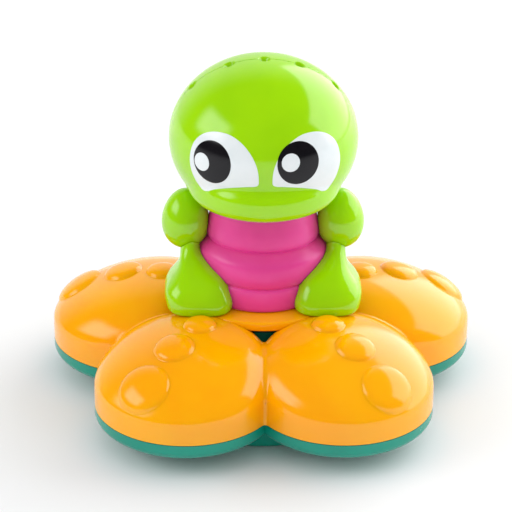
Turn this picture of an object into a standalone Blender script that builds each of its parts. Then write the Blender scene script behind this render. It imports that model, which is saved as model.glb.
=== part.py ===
"""Bath toy turtle on a five-lobed starfish float, a battery-powered fountain.

Units are metres, +Z is up and the turtle looks along -Y. The origin is on the
hub axis at the flat bottom of the hull.
"""

import math

import bmesh
import bpy
from mathutils import Matrix, Vector

# Fit and wall
GAP = 0.0003
WALL = 0.0020
MERGE = 0.00001

# Star float, upper shell
LOBE_COUNT = 5
LOBE_CENTRE = 0.0547
LOBE_RADIUS = 0.0379
LOBE_REACH = 0.0300
LOBE_RISE = 0.0213
CREST_SHIFT = 0.0125
BAND_HEIGHT = 0.0096
HUB_REACH = 0.0600
RIM_Z = 0.0160
STAR_WALL = 0.0020
OPENING_RADIUS = 0.0295
SKIRT_WALL = 0.0022
LEDGE_WALL = 0.0025
SILL_RADIUS = 0.0400
SILL_Z = 0.0330
SILL_HOLLOW = 0.0440

# Raised spots: angle up the lobe's own arc in degrees, from the rim to the crest, and diameter
SPOTS = ((25.0, 0.0215), (60.0, 0.0165), (86.0, 0.0135))
SPOT_HEIGHT = 0.0016
SPOT_ROOT = 0.0060
SPOT_SIDES = 12

# Hull
HULL_DEPTH = 0.0137
HULL_BAND = 0.0030
HULL_WALL = 0.0025
PAN_RADIUS = 0.0570
PAN_BEVEL = 0.0025
FLOOR = 0.0022
RABBET_LIP = 0.0008
RABBET_DEPTH = 0.0017
GASKET_WIDTH = 0.0011

# Hull screws
HULL_SCREW_RADIUS = 0.0600
HULL_BOSS = 0.0040
HULL_SEAT_Z = 0.0060
HULL_SCREW_LENGTH = 0.0180

# Screw sizes
SHANK = 0.0011
HEAD = 0.0024
HEAD_CROWN = 0.0019
HEAD_HEIGHT = 0.0016
DRIVE_RADIUS = 0.0009
DRIVE_DEPTH = 0.0006
DRIVE_SIDES = 6
PILOT_EXTRA = 0.0010

# Deck
DECK_RADIUS = 0.0340
DECK_THICKNESS = 0.0040
DECK_TOP_Z = 0.0460
DECK_EDGE = 0.0012
DECK_EDGE_MID = 0.0004

# Well tray
TRAY_Z = 0.0154
TRAY_FLOOR = 0.0018
TRAY_WALL = 0.0018
TRAY_WALL_TOP_Z = 0.0240
TRAY_LAP = 0.0025
INNER_GASKET_HEIGHT = 0.0010
POST_RADIUS = 0.0030
POST_PLACES = ((-0.0200, 0.0080), (0.0200, 0.0080), (0.0, 0.0235))
PAD_RADIUS = 0.0043
PAD_TOP_Z = 0.0210
PAD_SEAT_Z = 0.0182
DECK_SCREW_LENGTH = 0.0120

# Drains
DRAIN_PLACES = ((-0.0220, -0.0070), (0.0220, -0.0070))
DRAIN_BORE = 0.0021
DRAIN_WALL = 0.0011
DRAIN_FOOT_Z = 0.0009
COLLAR_WALL = 0.0015
COLLAR_TOP_Z = 0.0060

# Pump and motor
PUMP_Y = -0.0160
CASING_RADIUS = 0.0120
CASING_HEIGHT = 0.0080
CASING_WALL = 0.0012
DUCT_HALF_WIDTH = 0.0040
INLET_RADIUS = 0.0040
IMPELLER_RADIUS = 0.0090
IMPELLER_DISC = 0.0010
IMPELLER_HEIGHT = 0.0034
IMPELLER_HUB = 0.0026
IMPELLER_RUN = 0.0007
VANES = 6
VANE_WIDTH = 0.0009
VANE_ROOT = 0.0005
SHAFT_RADIUS = 0.0010
SEAL_RADIUS = 0.0030
MOTOR_RADIUS = 0.0100
MOTOR_HALF_DEPTH = 0.0076
MOTOR_LENGTH = 0.0217
MOTOR_NOSE_RADIUS = 0.0031
MOTOR_NOSE_LENGTH = 0.0015
END_CAP_LENGTH = 0.0026
POD_WALL = 0.0012
GRILLE_RADIUS = 0.0097
GRILLE_THICKNESS = 0.0009
GRILLE_HOLE = 0.0070
GRILLE_SLOT = 0.0013
GRILLE_SLOTS = 5

# Water way
TUBE_RADIUS = 0.0026
TUBE_BORE = 0.0016
TUBE_FOOT_Z = 0.0070
SOCKET_DEPTH = 0.0050
SOCKET_WALL = 0.0016

# Batteries
CELL_COUNT = 3
CELL_RADIUS = 0.00525
CELL_LENGTH = 0.0435
CELL_NUB = 0.0010
CELL_NUB_RADIUS = 0.0018
CELL_EDGE = 0.0004
CELL_PITCH = 0.0110
FIRST_CELL_Y = 0.0147
SPRING_LENGTH = 0.0044
SPRING_RADIUS = 0.0030
SPRING_TIP_RADIUS = 0.0018
SPRING_WIRE = 0.00035
SPRING_TURNS = 2
SPRING_POINTS = 6
PLATE_THICKNESS = 0.0003
PLATE_HALF = 0.0035
BOX_WALL = 0.0012
DOOR_THICKNESS = 0.0020
DOOR_LAP = 0.0033
DOOR_EAR = 0.0036
DOOR_EAR_HEIGHT = 0.0034
DOOR_SEAT_Z = 0.0024
DOOR_GASKET_WIDTH = 0.0015
DOOR_GASKET_HEIGHT = 0.0008
DOOR_SCREW_LENGTH = 0.0060
DOOR_BOSS_HEIGHT = 0.0105

# Power button
BUTTON_X = 0.0360
BUTTON_Y = -0.0180
BUTTON_RADIUS = 0.0060
BUTTON_FACE_Z = 0.0005
BUTTON_FLANGE = 0.0014
BUTTON_FLANGE_THICKNESS = 0.0009
BUTTON_STEM = 0.0015
BUTTON_TRAVEL = 0.0012
STEM_TOP_Z = 0.0052
PLUNGER_RADIUS = 0.0016
PLUNGER_HEIGHT = 0.0012
SWITCH_HALF = 0.0030
SWITCH_HEIGHT = 0.0032
BOARD_HALF_X = 0.0105
BOARD_HALF_Y = 0.0060
BOARD_THICKNESS = 0.0014
BOARD_POST = 0.0016
BOARD_POST_INSET = 0.0020

# Body of the turtle: radius and height of each turn of the profile, top to bottom
BODY_PROFILE = (
    (0.0215, 0.0890),
    (0.0228, 0.0850),
    (0.0236, 0.0800),
    (0.0236, 0.0755),
    (0.0229, 0.0725),
    (0.0258, 0.0700),
    (0.0273, 0.0658),
    (0.0268, 0.0620),
    (0.0252, 0.0583),
    (0.0256, 0.0570),
    (0.0258, 0.0530),
    (0.0250, 0.0463),
)
BODY_WALL = 0.0020
BODY_CEILING_Z = 0.0785
BODY_SCREW_RADIUS = 0.0205
BODY_BOSS = 0.0032
BODY_SCREW_LENGTH = 0.0120
BODY_BOSS_HEIGHT = 0.0160

# Carapace
SHELL_CENTRE = (0.0, 0.0130, 0.0640)
SHELL_HALF = (0.0250, 0.0190, 0.0230)

# Head
HEAD_Z = 0.1155
HEAD_HALF_WIDTH = 0.0392
HEAD_HALF_DEPTH = 0.0392
HEAD_HALF_HEIGHT = 0.0342
HEAD_WALL = 0.0020
MUZZLE_CENTRE = (0.0, -0.0080, 0.1010)
MUZZLE_HALF = (0.0362, 0.0312, 0.0098)
NECK_SCREW_Y = 0.0120
NECK_BOSS = 0.0032
NECK_BOSS_HEIGHT = 0.0120
NECK_SCREW_LENGTH = 0.0130
NOZZLE_ANGLES = (0.0, 21.0, -21.0, 48.0, -48.0)
NOZZLE_MOUTH = 0.00275
NOZZLE_SINK = 0.0016
NOZZLE_FLARE = 0.0004
NOZZLE_THROAT = 0.0012
NOZZLE_RADIUS = 0.0022
NOZZLE_BORE = 0.0009
HUB_RADIUS = 0.0055

# Eyes: outline of the right white in the frontal plane, from its lower inner corner round the
# top, and places of pupils and glints, which are round across the head's own surface
EYE_OUTLINE = (
    (0.0040, 0.1088),
    (0.0047, 0.1148),
    (0.0063, 0.1206),
    (0.0092, 0.1258),
    (0.0131, 0.1299),
    (0.0175, 0.1322),
    (0.0222, 0.1326),
    (0.0266, 0.1304),
    (0.0296, 0.1262),
    (0.0309, 0.1206),
    (0.0306, 0.1152),
    (0.0290, 0.1104),
    (0.0262, 0.1071),
    (0.0200, 0.1062),
    (0.0120, 0.1064),
    (0.0056, 0.1070),
)
PUPIL_PLACES = ((-0.0218, 0.1180), (0.0133, 0.1194))
PUPIL_RADIUS = 0.0089
GLINT_PLACES = ((-0.0254, 0.1172), (0.0100, 0.1201))
GLINT_RADIUS = 0.0038
PRINT_THICKNESS = 0.0003
PRINT_LIFT = 0.0002
PRINT_REACH = 0.0200
PRINT_SIDES = 28

# Arms
ARM_CENTRE = (0.0315, -0.0010, 0.0815)
ARM_HALF = (0.0118, 0.0125, 0.0155)

# Legs: oval sections from the sole up, each a height over the deck, a centre and two half sizes
LEG_SECTIONS = (
    (0.0000, 0.0266, -0.0135, 0.0124, 0.0140),
    (0.0011, 0.0266, -0.0135, 0.0136, 0.0151),
    (0.0057, 0.0267, -0.0131, 0.0145, 0.0160),
    (0.0102, 0.0270, -0.0120, 0.0138, 0.0149),
    (0.0147, 0.0276, -0.0100, 0.0118, 0.0125),
    (0.0192, 0.0286, -0.0074, 0.0092, 0.0100),
    (0.0237, 0.0296, -0.0054, 0.0070, 0.0080),
    (0.0297, 0.0302, -0.0042, 0.0060, 0.0068),
)
LEG_SIDES = 16

# Facets
LOBE_SEGMENTS = 16
LOBE_RINGS = 10
HULL_SEGMENTS = 16
HULL_RINGS = 6
BALL_SEGMENTS = 20
BALL_RINGS = 12
LIMB_SEGMENTS = 14
LIMB_RINGS = 8
SHELL_SEGMENTS = 24
SHELL_RINGS = 14
TURN_STEPS = 24
MOUTH_STEPS = 16
SMALL_STEPS = 10
SCREW_STEPS = 8
FACET_TURN = Matrix.Rotation(math.radians(4.0), 4, "Z")

# Heights that follow from the sizes above
EQUATOR_Z = RIM_Z + BAND_HEIGHT
DECK_Z = DECK_TOP_Z - DECK_THICKNESS
LEDGE_Z = DECK_Z - GAP
RECESS_RADIUS = DECK_RADIUS + GAP
TRAY_TOP_Z = TRAY_Z + TRAY_FLOOR
SKIRT_Z = TRAY_TOP_Z + INNER_GASKET_HEIGHT + 2.0 * GAP
HULL_TOP_Z = RIM_Z - GAP
CASING_Z = FLOOR + GAP
CASING_TOP_Z = CASING_Z + CASING_HEIGHT
MOTOR_Z = CASING_TOP_Z + GAP + MOTOR_NOSE_LENGTH
END_CAP_Z = MOTOR_Z + MOTOR_LENGTH + GAP
POD_CEILING_Z = END_CAP_Z + END_CAP_LENGTH + GAP
POD_BORE = MOTOR_RADIUS + GAP
DOOR_TOP_Z = GAP + DOOR_THICKNESS
DOOR_CEILING_Z = DOOR_TOP_Z + DOOR_GASKET_HEIGHT + 2.0 * GAP
EAR_CEILING_Z = DOOR_EAR_HEIGHT + 2.0 * GAP
CELL_Z = DOOR_TOP_Z + GAP + CELL_RADIUS
CELL_CEILING_Z = CELL_Z + CELL_RADIUS + GAP
CELL_BACK_Y = FIRST_CELL_Y + (CELL_COUNT - 1) * CELL_PITCH
BOX_FRONT = FIRST_CELL_Y - CELL_RADIUS - GAP
BOX_BACK = CELL_BACK_Y + CELL_RADIUS + GAP
BOX_HALF_X = (CELL_LENGTH + CELL_NUB + SPRING_LENGTH + PLATE_THICKNESS) / 2.0 + 2.0 * GAP
DOOR_HALF_X = BOX_HALF_X + DOOR_LAP
SEAL_HALF_X = BOX_HALF_X + GAP + DOOR_GASKET_WIDTH
DOOR_FRONT = BOX_FRONT - DOOR_LAP
DOOR_BACK = BOX_BACK + DOOR_LAP
BODY_Z = DECK_TOP_Z + GAP
MANIFOLD_Z = HEAD_Z - HUB_RADIUS - SOCKET_DEPTH
SWITCH_Z = STEM_TOP_Z + BUTTON_TRAVEL + GAP + PLUNGER_HEIGHT
BOARD_Z = SWITCH_Z + SWITCH_HEIGHT + GAP

# Start clean
for leftover in list(bpy.data.objects):
    bpy.data.objects.remove(leftover)

parts = bpy.data.collections.new("bath_toy_turtle")
cutters = bpy.data.collections.new("cutters")
bpy.context.scene.collection.children.link(parts)
bpy.context.scene.collection.children.link(cutters)


# Materials
def material(name, colour, roughness, metallic=0.0):
    made = bpy.data.materials.new(name)
    made.use_nodes = True
    shader = made.node_tree.nodes["Principled BSDF"]
    shader.inputs["Base Color"].default_value = (*colour, 1.0)
    shader.inputs["Roughness"].default_value = roughness
    shader.inputs["Metallic"].default_value = metallic
    return made


ORANGE = material("orange_gloss_plastic", (1.0, 0.42, 0.0), 0.15)
TEAL = material("teal_plastic", (0.0, 0.30, 0.24), 0.25)
PINK = material("pink_plastic", (0.80, 0.06, 0.32), 0.30)
GREEN = material("green_gloss_plastic", (0.40, 0.78, 0.0), 0.15)
WHITE = material("white_ink", (0.90, 0.90, 0.88), 0.20)
BLACK = material("black_ink", (0.01, 0.01, 0.01), 0.20)
NATURAL = material("natural_plastic", (0.75, 0.75, 0.70), 0.35)
CHARCOAL = material("charcoal_plastic", (0.05, 0.05, 0.05), 0.40)
RUBBER = material("seal_rubber", (0.03, 0.03, 0.03), 0.70)
STEEL = material("bright_steel", (0.60, 0.60, 0.60), 0.30, 1.0)
CELL_SKIN = material("cell_sleeve", (0.08, 0.10, 0.14), 0.30, 0.3)
BOARD_GREEN = material("circuit_laminate", (0.02, 0.20, 0.06), 0.45)


# Building blocks
def place(name, mesh, skin=None, at=(0.0, 0.0, 0.0)):
    """Put a mesh in the scene: a part when it has a skin, else a cutter."""
    made = bpy.data.objects.new(name, mesh)
    made.location = at
    if skin is None:
        cutters.objects.link(made)
        made.hide_render = True
        made.display_type = "WIRE"
        return made
    parts.objects.link(made)
    made.data.materials.append(skin)
    made.data.shade_smooth()
    made.data.set_sharp_from_angle(angle=math.radians(35.0))
    return made


def mesh_from(bm, name):
    bmesh.ops.recalc_face_normals(bm, faces=bm.faces)
    mesh = bpy.data.meshes.new(name)
    bm.to_mesh(mesh)
    bm.free()
    return mesh


def boolean(target, tool, operation):
    step = target.modifiers.new(tool.name, "BOOLEAN")
    step.operation = operation
    step.solver = "EXACT"
    step.object = tool
    return target


def cut(target, *tools):
    for tool in tools:
        boolean(target, tool, "DIFFERENCE")
    return target


def weld(target):
    """Close the hair-fine slits that long chains of cuts leave."""
    step = target.modifiers.new("weld", "WELD")
    step.merge_threshold = MERGE / 10.0
    return target


def join(target, *tools):
    for tool in tools:
        boolean(target, tool, "UNION")
    return target


def common(target, tool):
    return boolean(target, tool, "INTERSECT")


def rod(name, radius, low, high, at=(0.0, 0.0), skin=None, top_radius=None, steps=SMALL_STEPS):
    """Upright cylinder or cone between two heights."""
    bm = bmesh.new()
    upper = radius if top_radius is None else top_radius
    bmesh.ops.create_cone(
        bm,
        cap_ends=True,
        segments=steps,
        radius1=radius,
        radius2=upper,
        depth=high - low,
        matrix=FACET_TURN,
    )
    return place(name, mesh_from(bm, name), skin, (at[0], at[1], (low + high) / 2.0))


def rods(name, items, skin=None, steps=SMALL_STEPS):
    """Several upright cylinders in one mesh: (radius, low, high, (x, y)) each."""
    bm = bmesh.new()
    for radius, low, high, at in items:
        middle = Matrix.Translation((at[0], at[1], (low + high) / 2.0))
        bmesh.ops.create_cone(
            bm,
            cap_ends=True,
            segments=steps,
            radius1=radius,
            radius2=radius,
            depth=high - low,
            matrix=middle @ FACET_TURN,
        )
    return place(name, mesh_from(bm, name), skin)


def block(name, x_range, y_range, z_range, skin=None):
    bm = bmesh.new()
    bmesh.ops.create_cube(bm, size=1.0)
    size = (x_range[1] - x_range[0], y_range[1] - y_range[0], z_range[1] - z_range[0])
    bmesh.ops.scale(bm, vec=size, verts=bm.verts)
    middle = (sum(x_range) / 2.0, sum(y_range) / 2.0, sum(z_range) / 2.0)
    return place(name, mesh_from(bm, name), skin, middle)


def ball(name, centre, half, skin=None, segments=BALL_SEGMENTS, rings=BALL_RINGS):
    """Ellipsoid from its three half sizes."""
    bm = bmesh.new()
    bmesh.ops.create_uvsphere(bm, u_segments=segments, v_segments=rings, radius=1.0)
    bmesh.ops.scale(bm, vec=half, verts=bm.verts)
    return place(name, mesh_from(bm, name), skin, centre)


def turned(name, profile, skin=None, at=(0.0, 0.0, 0.0), steps=TURN_STEPS, closed=False):
    """Profile of (radius, height) points, outer side top to bottom, turned about Z."""
    mesh = bpy.data.meshes.new(name)
    edges = [(index, index + 1) for index in range(len(profile) - 1)]
    if closed:
        edges.append((len(profile) - 1, 0))
    mesh.from_pydata([(radius, 0.0, height) for radius, height in profile], edges, [])
    made = place(name, mesh, skin, at)
    screw = made.modifiers.new("turn", "SCREW")
    screw.axis = "Z"
    screw.steps = steps
    screw.render_steps = steps
    screw.use_merge_vertices = True
    screw.merge_threshold = MERGE
    screw.use_smooth_shade = True
    return made


def ring(name, outer, inner, low, high, skin=None, at=(0.0, 0.0, 0.0), steps=TURN_STEPS):
    profile = ((inner, high), (outer, high), (outer, low), (inner, low))
    return turned(name, profile, skin, at, steps, closed=True)


def polar(radius, degrees):
    angle = math.radians(degrees)
    return (radius * math.cos(angle), radius * math.sin(angle))


LOBE_ANGLES = [90.0 + 360.0 * index / LOBE_COUNT for index in range(LOBE_COUNT)]


# Five lobes: one is shaped, trimmed to its own sector and turned about the hub axis
def five_lobes(name, bm, skin=None):
    half_sector = math.pi / LOBE_COUNT
    for side in (1.0, -1.0):
        normal = (-math.sin(half_sector), side * math.cos(half_sector), 0.0)
        bmesh.ops.bisect_plane(
            bm,
            geom=bm.verts[:] + bm.edges[:] + bm.faces[:],
            dist=MERGE / 10.0,
            plane_co=(0.0, 0.0, 0.0),
            plane_no=normal,
            clear_outer=True,
        )
    lobe = bm.verts[:] + bm.edges[:] + bm.faces[:]
    for angle in LOBE_ANGLES[1:]:
        copied = bmesh.ops.duplicate(bm, geom=lobe)
        moved = [item for item in copied["geom"] if isinstance(item, bmesh.types.BMVert)]
        turn = Matrix.Rotation(math.radians(angle - LOBE_ANGLES[0]), 3, "Z")
        bmesh.ops.rotate(bm, verts=moved, cent=(0.0, 0.0, 0.0), matrix=turn)
    bmesh.ops.remove_doubles(bm, verts=bm.verts, dist=MERGE)
    first = Matrix.Rotation(math.radians(LOBE_ANGLES[0]), 3, "Z")
    bmesh.ops.rotate(bm, verts=bm.verts, cent=(0.0, 0.0, 0.0), matrix=first)
    return place(name, mesh_from(bm, name), skin)


def lobe_place(across, along, inset, inner_reach=HUB_REACH):
    """Plan position on a lobe for a point of the unit circle."""
    reach = LOBE_RADIUS - inset if across > 0.0 else inner_reach
    return LOBE_CENTRE + across * reach, along * (LOBE_RADIUS - inset)


def lobed_dome(name, inset, rise, shift, base_z, tail, facets, skin=None, inner_reach=HUB_REACH):
    """Closed volume of the five lobes above base_z, or below it when rise is negative."""
    bm = bmesh.new()
    bmesh.ops.create_uvsphere(bm, u_segments=facets[0], v_segments=facets[1], radius=1.0)
    below = [face for face in bm.faces if face.calc_center_median().z < 0.0]
    bmesh.ops.delete(bm, geom=below, context="FACES")
    for vert in bm.verts:
        level = vert.co.z
        across, along = lobe_place(vert.co.x, vert.co.y, inset, inner_reach)
        vert.co = (across - shift * level, along, level * rise)
    rim = [edge for edge in bm.edges if edge.is_boundary]
    grown = bmesh.ops.extrude_edge_only(bm, edges=rim)
    lower = [item for item in grown["geom"] if isinstance(item, bmesh.types.BMVert)]
    for vert in lower:
        vert.co.z = -tail
    loop = [item for item in grown["geom"] if isinstance(item, bmesh.types.BMEdge)]
    bmesh.ops.contextual_create(bm, geom=[edge for edge in loop if edge.is_boundary])
    bmesh.ops.translate(bm, verts=bm.verts, vec=(0.0, 0.0, base_z))
    return five_lobes(name, bm, skin)


def lobed_slab(name, inset, low, high, segments, skin=None):
    """Flat slab with the outline of the rim, moved inwards by inset."""
    bm = bmesh.new()
    bmesh.ops.create_cone(
        bm, cap_ends=True, segments=segments, radius1=1.0, radius2=1.0, depth=high - low
    )
    for vert in bm.verts:
        across, along = lobe_place(vert.co.x, vert.co.y, inset)
        vert.co = (across, along, vert.co.z + (low + high) / 2.0)
    return five_lobes(name, bm, skin)


# Screws, upright with the head below or upside down
def screw(name, at, seat_z, length):
    """Pan-head screw driven from below, its head under seat_z."""
    head_low = seat_z - GAP - HEAD_HEIGHT
    neck = seat_z - GAP
    tip = neck + length
    profile = (
        (0.0, tip),
        (SHANK, tip - SHANK),
        (SHANK, neck),
        (HEAD, neck),
        (HEAD_CROWN, head_low),
        (0.0, head_low),
    )
    made = turned(name, profile, STEEL, (at[0], at[1], 0.0), steps=SCREW_STEPS)
    socket_top = head_low + DRIVE_DEPTH
    socket_low = head_low - DRIVE_DEPTH
    socket = rod(name + "_socket", DRIVE_RADIUS, socket_low, socket_top, at, steps=DRIVE_SIDES)
    return cut(made, socket)


def spokes(name, items, steps):
    """Several cylinders in one mesh: (start, end, radius) each."""
    bm = bmesh.new()
    for start, end, radius in items:
        along = end - start
        turn = along.to_track_quat("Z", "Y").to_matrix().to_4x4()
        bmesh.ops.create_cone(
            bm,
            cap_ends=True,
            segments=steps,
            radius1=radius,
            radius2=radius,
            depth=along.length,
            matrix=Matrix.Translation((start + end) / 2.0) @ turn,
        )
    return place(name, mesh_from(bm, name))


def lobe_ridge(degrees):
    """Point on a lobe's own centre line and the surface normal there, lobe along +X."""
    angle = math.radians(degrees)
    across = LOBE_CENTRE + LOBE_RADIUS * math.cos(angle) - CREST_SHIFT * math.sin(angle)
    point = Vector((across, 0.0, EQUATOR_Z + LOBE_RISE * math.sin(angle)))
    run = -LOBE_RADIUS * math.sin(angle) - CREST_SHIFT * math.cos(angle)
    climb = LOBE_RISE * math.cos(angle)
    return point, Vector((climb, 0.0, -run)).normalized()


# Star shell
lobe_facets = (LOBE_SEGMENTS, LOBE_RINGS)


def upper_lobes(name, inset, tail, skin=None):
    """Lobes of the upper shell with a straight band of height tail under the equator."""
    return lobed_dome(
        name,
        inset,
        LOBE_RISE - inset,
        CREST_SHIFT,
        EQUATOR_Z,
        tail,
        lobe_facets,
        skin,
        LOBE_REACH - inset,
    )


star_shell = upper_lobes("star_shell", 0.0, BAND_HEIGHT, ORANGE)
raised = upper_lobes("raised_spots", -SPOT_HEIGHT, 0.0)
spot_columns = []
for angle in LOBE_ANGLES:
    turn = Matrix.Rotation(math.radians(angle), 3, "Z")
    for climb, across in SPOTS:
        crest_point, outward = lobe_ridge(climb)
        root = turn @ (crest_point - outward * SPOT_ROOT)
        tip = turn @ (crest_point + outward * SPOT_ROOT)
        spot_columns.append((root, tip, across / 2.0))
common(raised, spokes("spot_columns", spot_columns, SPOT_SIDES))
join(star_shell, raised)
join(star_shell, rod("sill", SILL_RADIUS, RIM_Z, SILL_Z, steps=TURN_STEPS))
cavity = upper_lobes("star_cavity", STAR_WALL, BAND_HEIGHT + STAR_WALL)
join(
    cavity,
    rod("sill_hollow", SILL_HOLLOW, RIM_Z - STAR_WALL, SILL_Z - STAR_WALL, steps=TURN_STEPS),
)
cut(cavity, rod("skirt_keep", OPENING_RADIUS + SKIRT_WALL, SKIRT_Z, 0.1, steps=TURN_STEPS))
cut(
    cavity,
    rod("ledge_keep", RECESS_RADIUS + LEDGE_WALL, LEDGE_Z - LEDGE_WALL, 0.1, steps=TURN_STEPS),
)
HULL_SCREW_PLACES = [polar(HULL_SCREW_RADIUS, angle) for angle in LOBE_ANGLES]
star_bosses = [(HULL_BOSS, 0.0, 2.0 * DECK_TOP_Z, at) for at in HULL_SCREW_PLACES]
cut(cavity, rods("star_bosses", star_bosses))
cut(star_shell, cavity)
cut(star_shell, rod("opening", OPENING_RADIUS, 0.0, 2.0 * DECK_TOP_Z, steps=TURN_STEPS))
cut(star_shell, rod("recess", RECESS_RADIUS, LEDGE_Z, 2.0 * DECK_TOP_Z, steps=TURN_STEPS))
HULL_TIP_Z = HULL_SEAT_Z - GAP + HULL_SCREW_LENGTH
pilots = [(SHANK + GAP, 0.0, HULL_TIP_Z + PILOT_EXTRA, at) for at in HULL_SCREW_PLACES]
cut(star_shell, rods("star_pilots", pilots, steps=SCREW_STEPS))
weld(star_shell)

# Hull, its floor pan and what stands on the floor
base_hull = lobed_dome(
    "base_hull",
    0.0,
    HULL_BAND - HULL_DEPTH,
    0.0,
    HULL_TOP_Z - HULL_BAND,
    -HULL_BAND,
    (HULL_SEGMENTS, HULL_RINGS),
    TEAL,
)
pan = rod("pan", PAN_RADIUS, 0.0, HULL_TOP_Z - GAP, steps=TURN_STEPS)
rounding = pan.modifiers.new("round", "BEVEL")
rounding.width = PAN_BEVEL
rounding.segments = 2
rounding.limit_method = "ANGLE"
rounding.angle_limit = math.radians(60.0)
join(base_hull, pan)
hollow = lobed_dome(
    "hull_cavity",
    HULL_WALL,
    HULL_BAND + HULL_WALL - HULL_DEPTH,
    0.0,
    HULL_TOP_Z - HULL_BAND,
    -HULL_BAND - HULL_WALL,
    (HULL_SEGMENTS, HULL_RINGS),
)
join(hollow, rod("pan_cavity", PAN_RADIUS - FLOOR, FLOOR, HULL_TOP_Z - 2.0 * GAP, steps=TURN_STEPS))
box_top = CELL_CEILING_Z + BOX_WALL
box_side = BOX_HALF_X + BOX_WALL
cut(
    hollow,
    block(
        "cell_box_keep",
        (-box_side, box_side),
        (BOX_FRONT - BOX_WALL, BOX_BACK + BOX_WALL),
        (0.0, box_top),
    ),
)
cut(
    hollow,
    block(
        "door_keep",
        (-DOOR_HALF_X - BOX_WALL, DOOR_HALF_X + BOX_WALL),
        (DOOR_FRONT - BOX_WALL, DOOR_BACK + BOX_WALL),
        (0.0, DOOR_CEILING_Z + BOX_WALL),
    ),
)
hull_bosses = [(HULL_BOSS, 0.0, DECK_Z, at) for at in HULL_SCREW_PLACES]
hull_bosses += [
    (DRAIN_BORE + DRAIN_WALL + GAP + COLLAR_WALL, 0.0, COLLAR_TOP_Z, at) for at in DRAIN_PLACES
]
cell_middle = (BOX_FRONT + BOX_BACK) / 2.0
ear_x = SEAL_HALF_X + GAP + DOOR_EAR
DOOR_SCREW_PLACES = [(side * ear_x, cell_middle) for side in (-1.0, 1.0)]
hull_bosses += [(DOOR_EAR + WALL, 0.0, DOOR_BOSS_HEIGHT, at) for at in DOOR_SCREW_PLACES]
BOARD_POST_PLACES = [
    (BUTTON_X + side * (BOARD_HALF_X - BOARD_POST_INSET), BUTTON_Y + BOARD_HALF_Y - BOARD_POST_INSET)
    for side in (-1.0, 1.0)
]
hull_bosses += [(BOARD_POST, 0.0, BOARD_Z - GAP, at) for at in BOARD_POST_PLACES]
cut(hollow, rods("hull_bosses", hull_bosses))
cut(base_hull, hollow)
cut(
    base_hull,
    lobed_slab(
        "rabbet", RABBET_LIP, HULL_TOP_Z - RABBET_DEPTH, HULL_TOP_Z + RABBET_DEPTH, HULL_SEGMENTS
    ),
)

# Openings in the floor of the hull
cut(
    base_hull,
    block("cell_bay", (-BOX_HALF_X, BOX_HALF_X), (BOX_FRONT, BOX_BACK), (-WALL, CELL_CEILING_Z)),
)
cut(
    base_hull,
    block(
        "door_recess",
        (-DOOR_HALF_X - GAP, DOOR_HALF_X + GAP),
        (DOOR_FRONT - GAP, DOOR_BACK + GAP),
        (-WALL, DOOR_CEILING_Z),
    ),
)
ear_recess = [(DOOR_EAR + GAP, -WALL, EAR_CEILING_Z, at) for at in DOOR_SCREW_PLACES]
floor_cuts = [(HEAD + GAP, -WALL, HULL_SEAT_Z, at) for at in HULL_SCREW_PLACES]
floor_cuts += [(DRAIN_BORE + DRAIN_WALL + GAP, -WALL, RIM_Z, at) for at in DRAIN_PLACES]
cut(base_hull, rods("ear_recess", ear_recess, steps=20))
cut(base_hull, rods("floor_cuts", floor_cuts))
narrow = [(SHANK + GAP, -WALL, RIM_Z + WALL, at) for at in HULL_SCREW_PLACES]
door_tip_z = DOOR_SEAT_Z - GAP + DOOR_SCREW_LENGTH
narrow += [(SHANK + GAP, -WALL, door_tip_z + PILOT_EXTRA, at) for at in DOOR_SCREW_PLACES]
cut(base_hull, rods("narrow_cuts", narrow, steps=SCREW_STEPS))
pump_at = (0.0, PUMP_Y)
grille_seat_z = 2.0 * GAP + GRILLE_THICKNESS
cut(base_hull, rod("grille_recess", GRILLE_RADIUS + GAP, -WALL, grille_seat_z, pump_at, steps=24))
cut(base_hull, rod("grille_hole", GRILLE_HOLE, -WALL, FLOOR + GAP, pump_at, steps=24))
button_at = (BUTTON_X, BUTTON_Y)
cut(base_hull, rod("button_hole", BUTTON_RADIUS + GAP, -WALL, FLOOR + GAP, button_at, steps=24))
weld(base_hull)

# Seals
hull_gasket = lobed_slab(
    "hull_gasket",
    RABBET_LIP + GAP,
    HULL_TOP_Z - RABBET_DEPTH + GAP,
    HULL_TOP_Z,
    HULL_SEGMENTS,
    RUBBER,
)
cut(
    hull_gasket,
    lobed_slab("gasket_inside", RABBET_LIP + GAP + GASKET_WIDTH, 0.0, RIM_Z, HULL_SEGMENTS),
)
ring(
    "inner_gasket",
    OPENING_RADIUS + SKIRT_WALL,
    OPENING_RADIUS,
    TRAY_TOP_Z + GAP,
    SKIRT_Z - GAP,
    RUBBER,
)

# Deck on the ledge, with its three posts
deck_profile = (
    (TUBE_RADIUS + GAP, DECK_TOP_Z),
    (DECK_RADIUS - DECK_EDGE, DECK_TOP_Z),
    (DECK_RADIUS - DECK_EDGE_MID, DECK_TOP_Z - DECK_EDGE_MID),
    (DECK_RADIUS, DECK_TOP_Z - DECK_EDGE),
    (DECK_RADIUS, DECK_Z + DECK_EDGE),
    (DECK_RADIUS - DECK_EDGE_MID, DECK_Z + DECK_EDGE_MID),
    (DECK_RADIUS - DECK_EDGE, DECK_Z),
    (TUBE_RADIUS + GAP, DECK_Z),
)
deck = turned("deck", deck_profile, ORANGE, closed=True)
post_top = DECK_Z + DECK_THICKNESS / 2.0
join(deck, rods("deck_posts", [(POST_RADIUS, PAD_TOP_Z + GAP, post_top, at) for at in POST_PLACES]))
DECK_TIP_Z = PAD_SEAT_Z - GAP + DECK_SCREW_LENGTH
post_pilots = [(SHANK + GAP, 0.0, DECK_TIP_Z + PILOT_EXTRA, at) for at in POST_PLACES]
cut(deck, rods("post_pilots", post_pilots, steps=SCREW_STEPS))
BODY_SCREW_PLACES = [polar(BODY_SCREW_RADIUS, angle) for angle in (90.0, 210.0, 330.0)]
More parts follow.
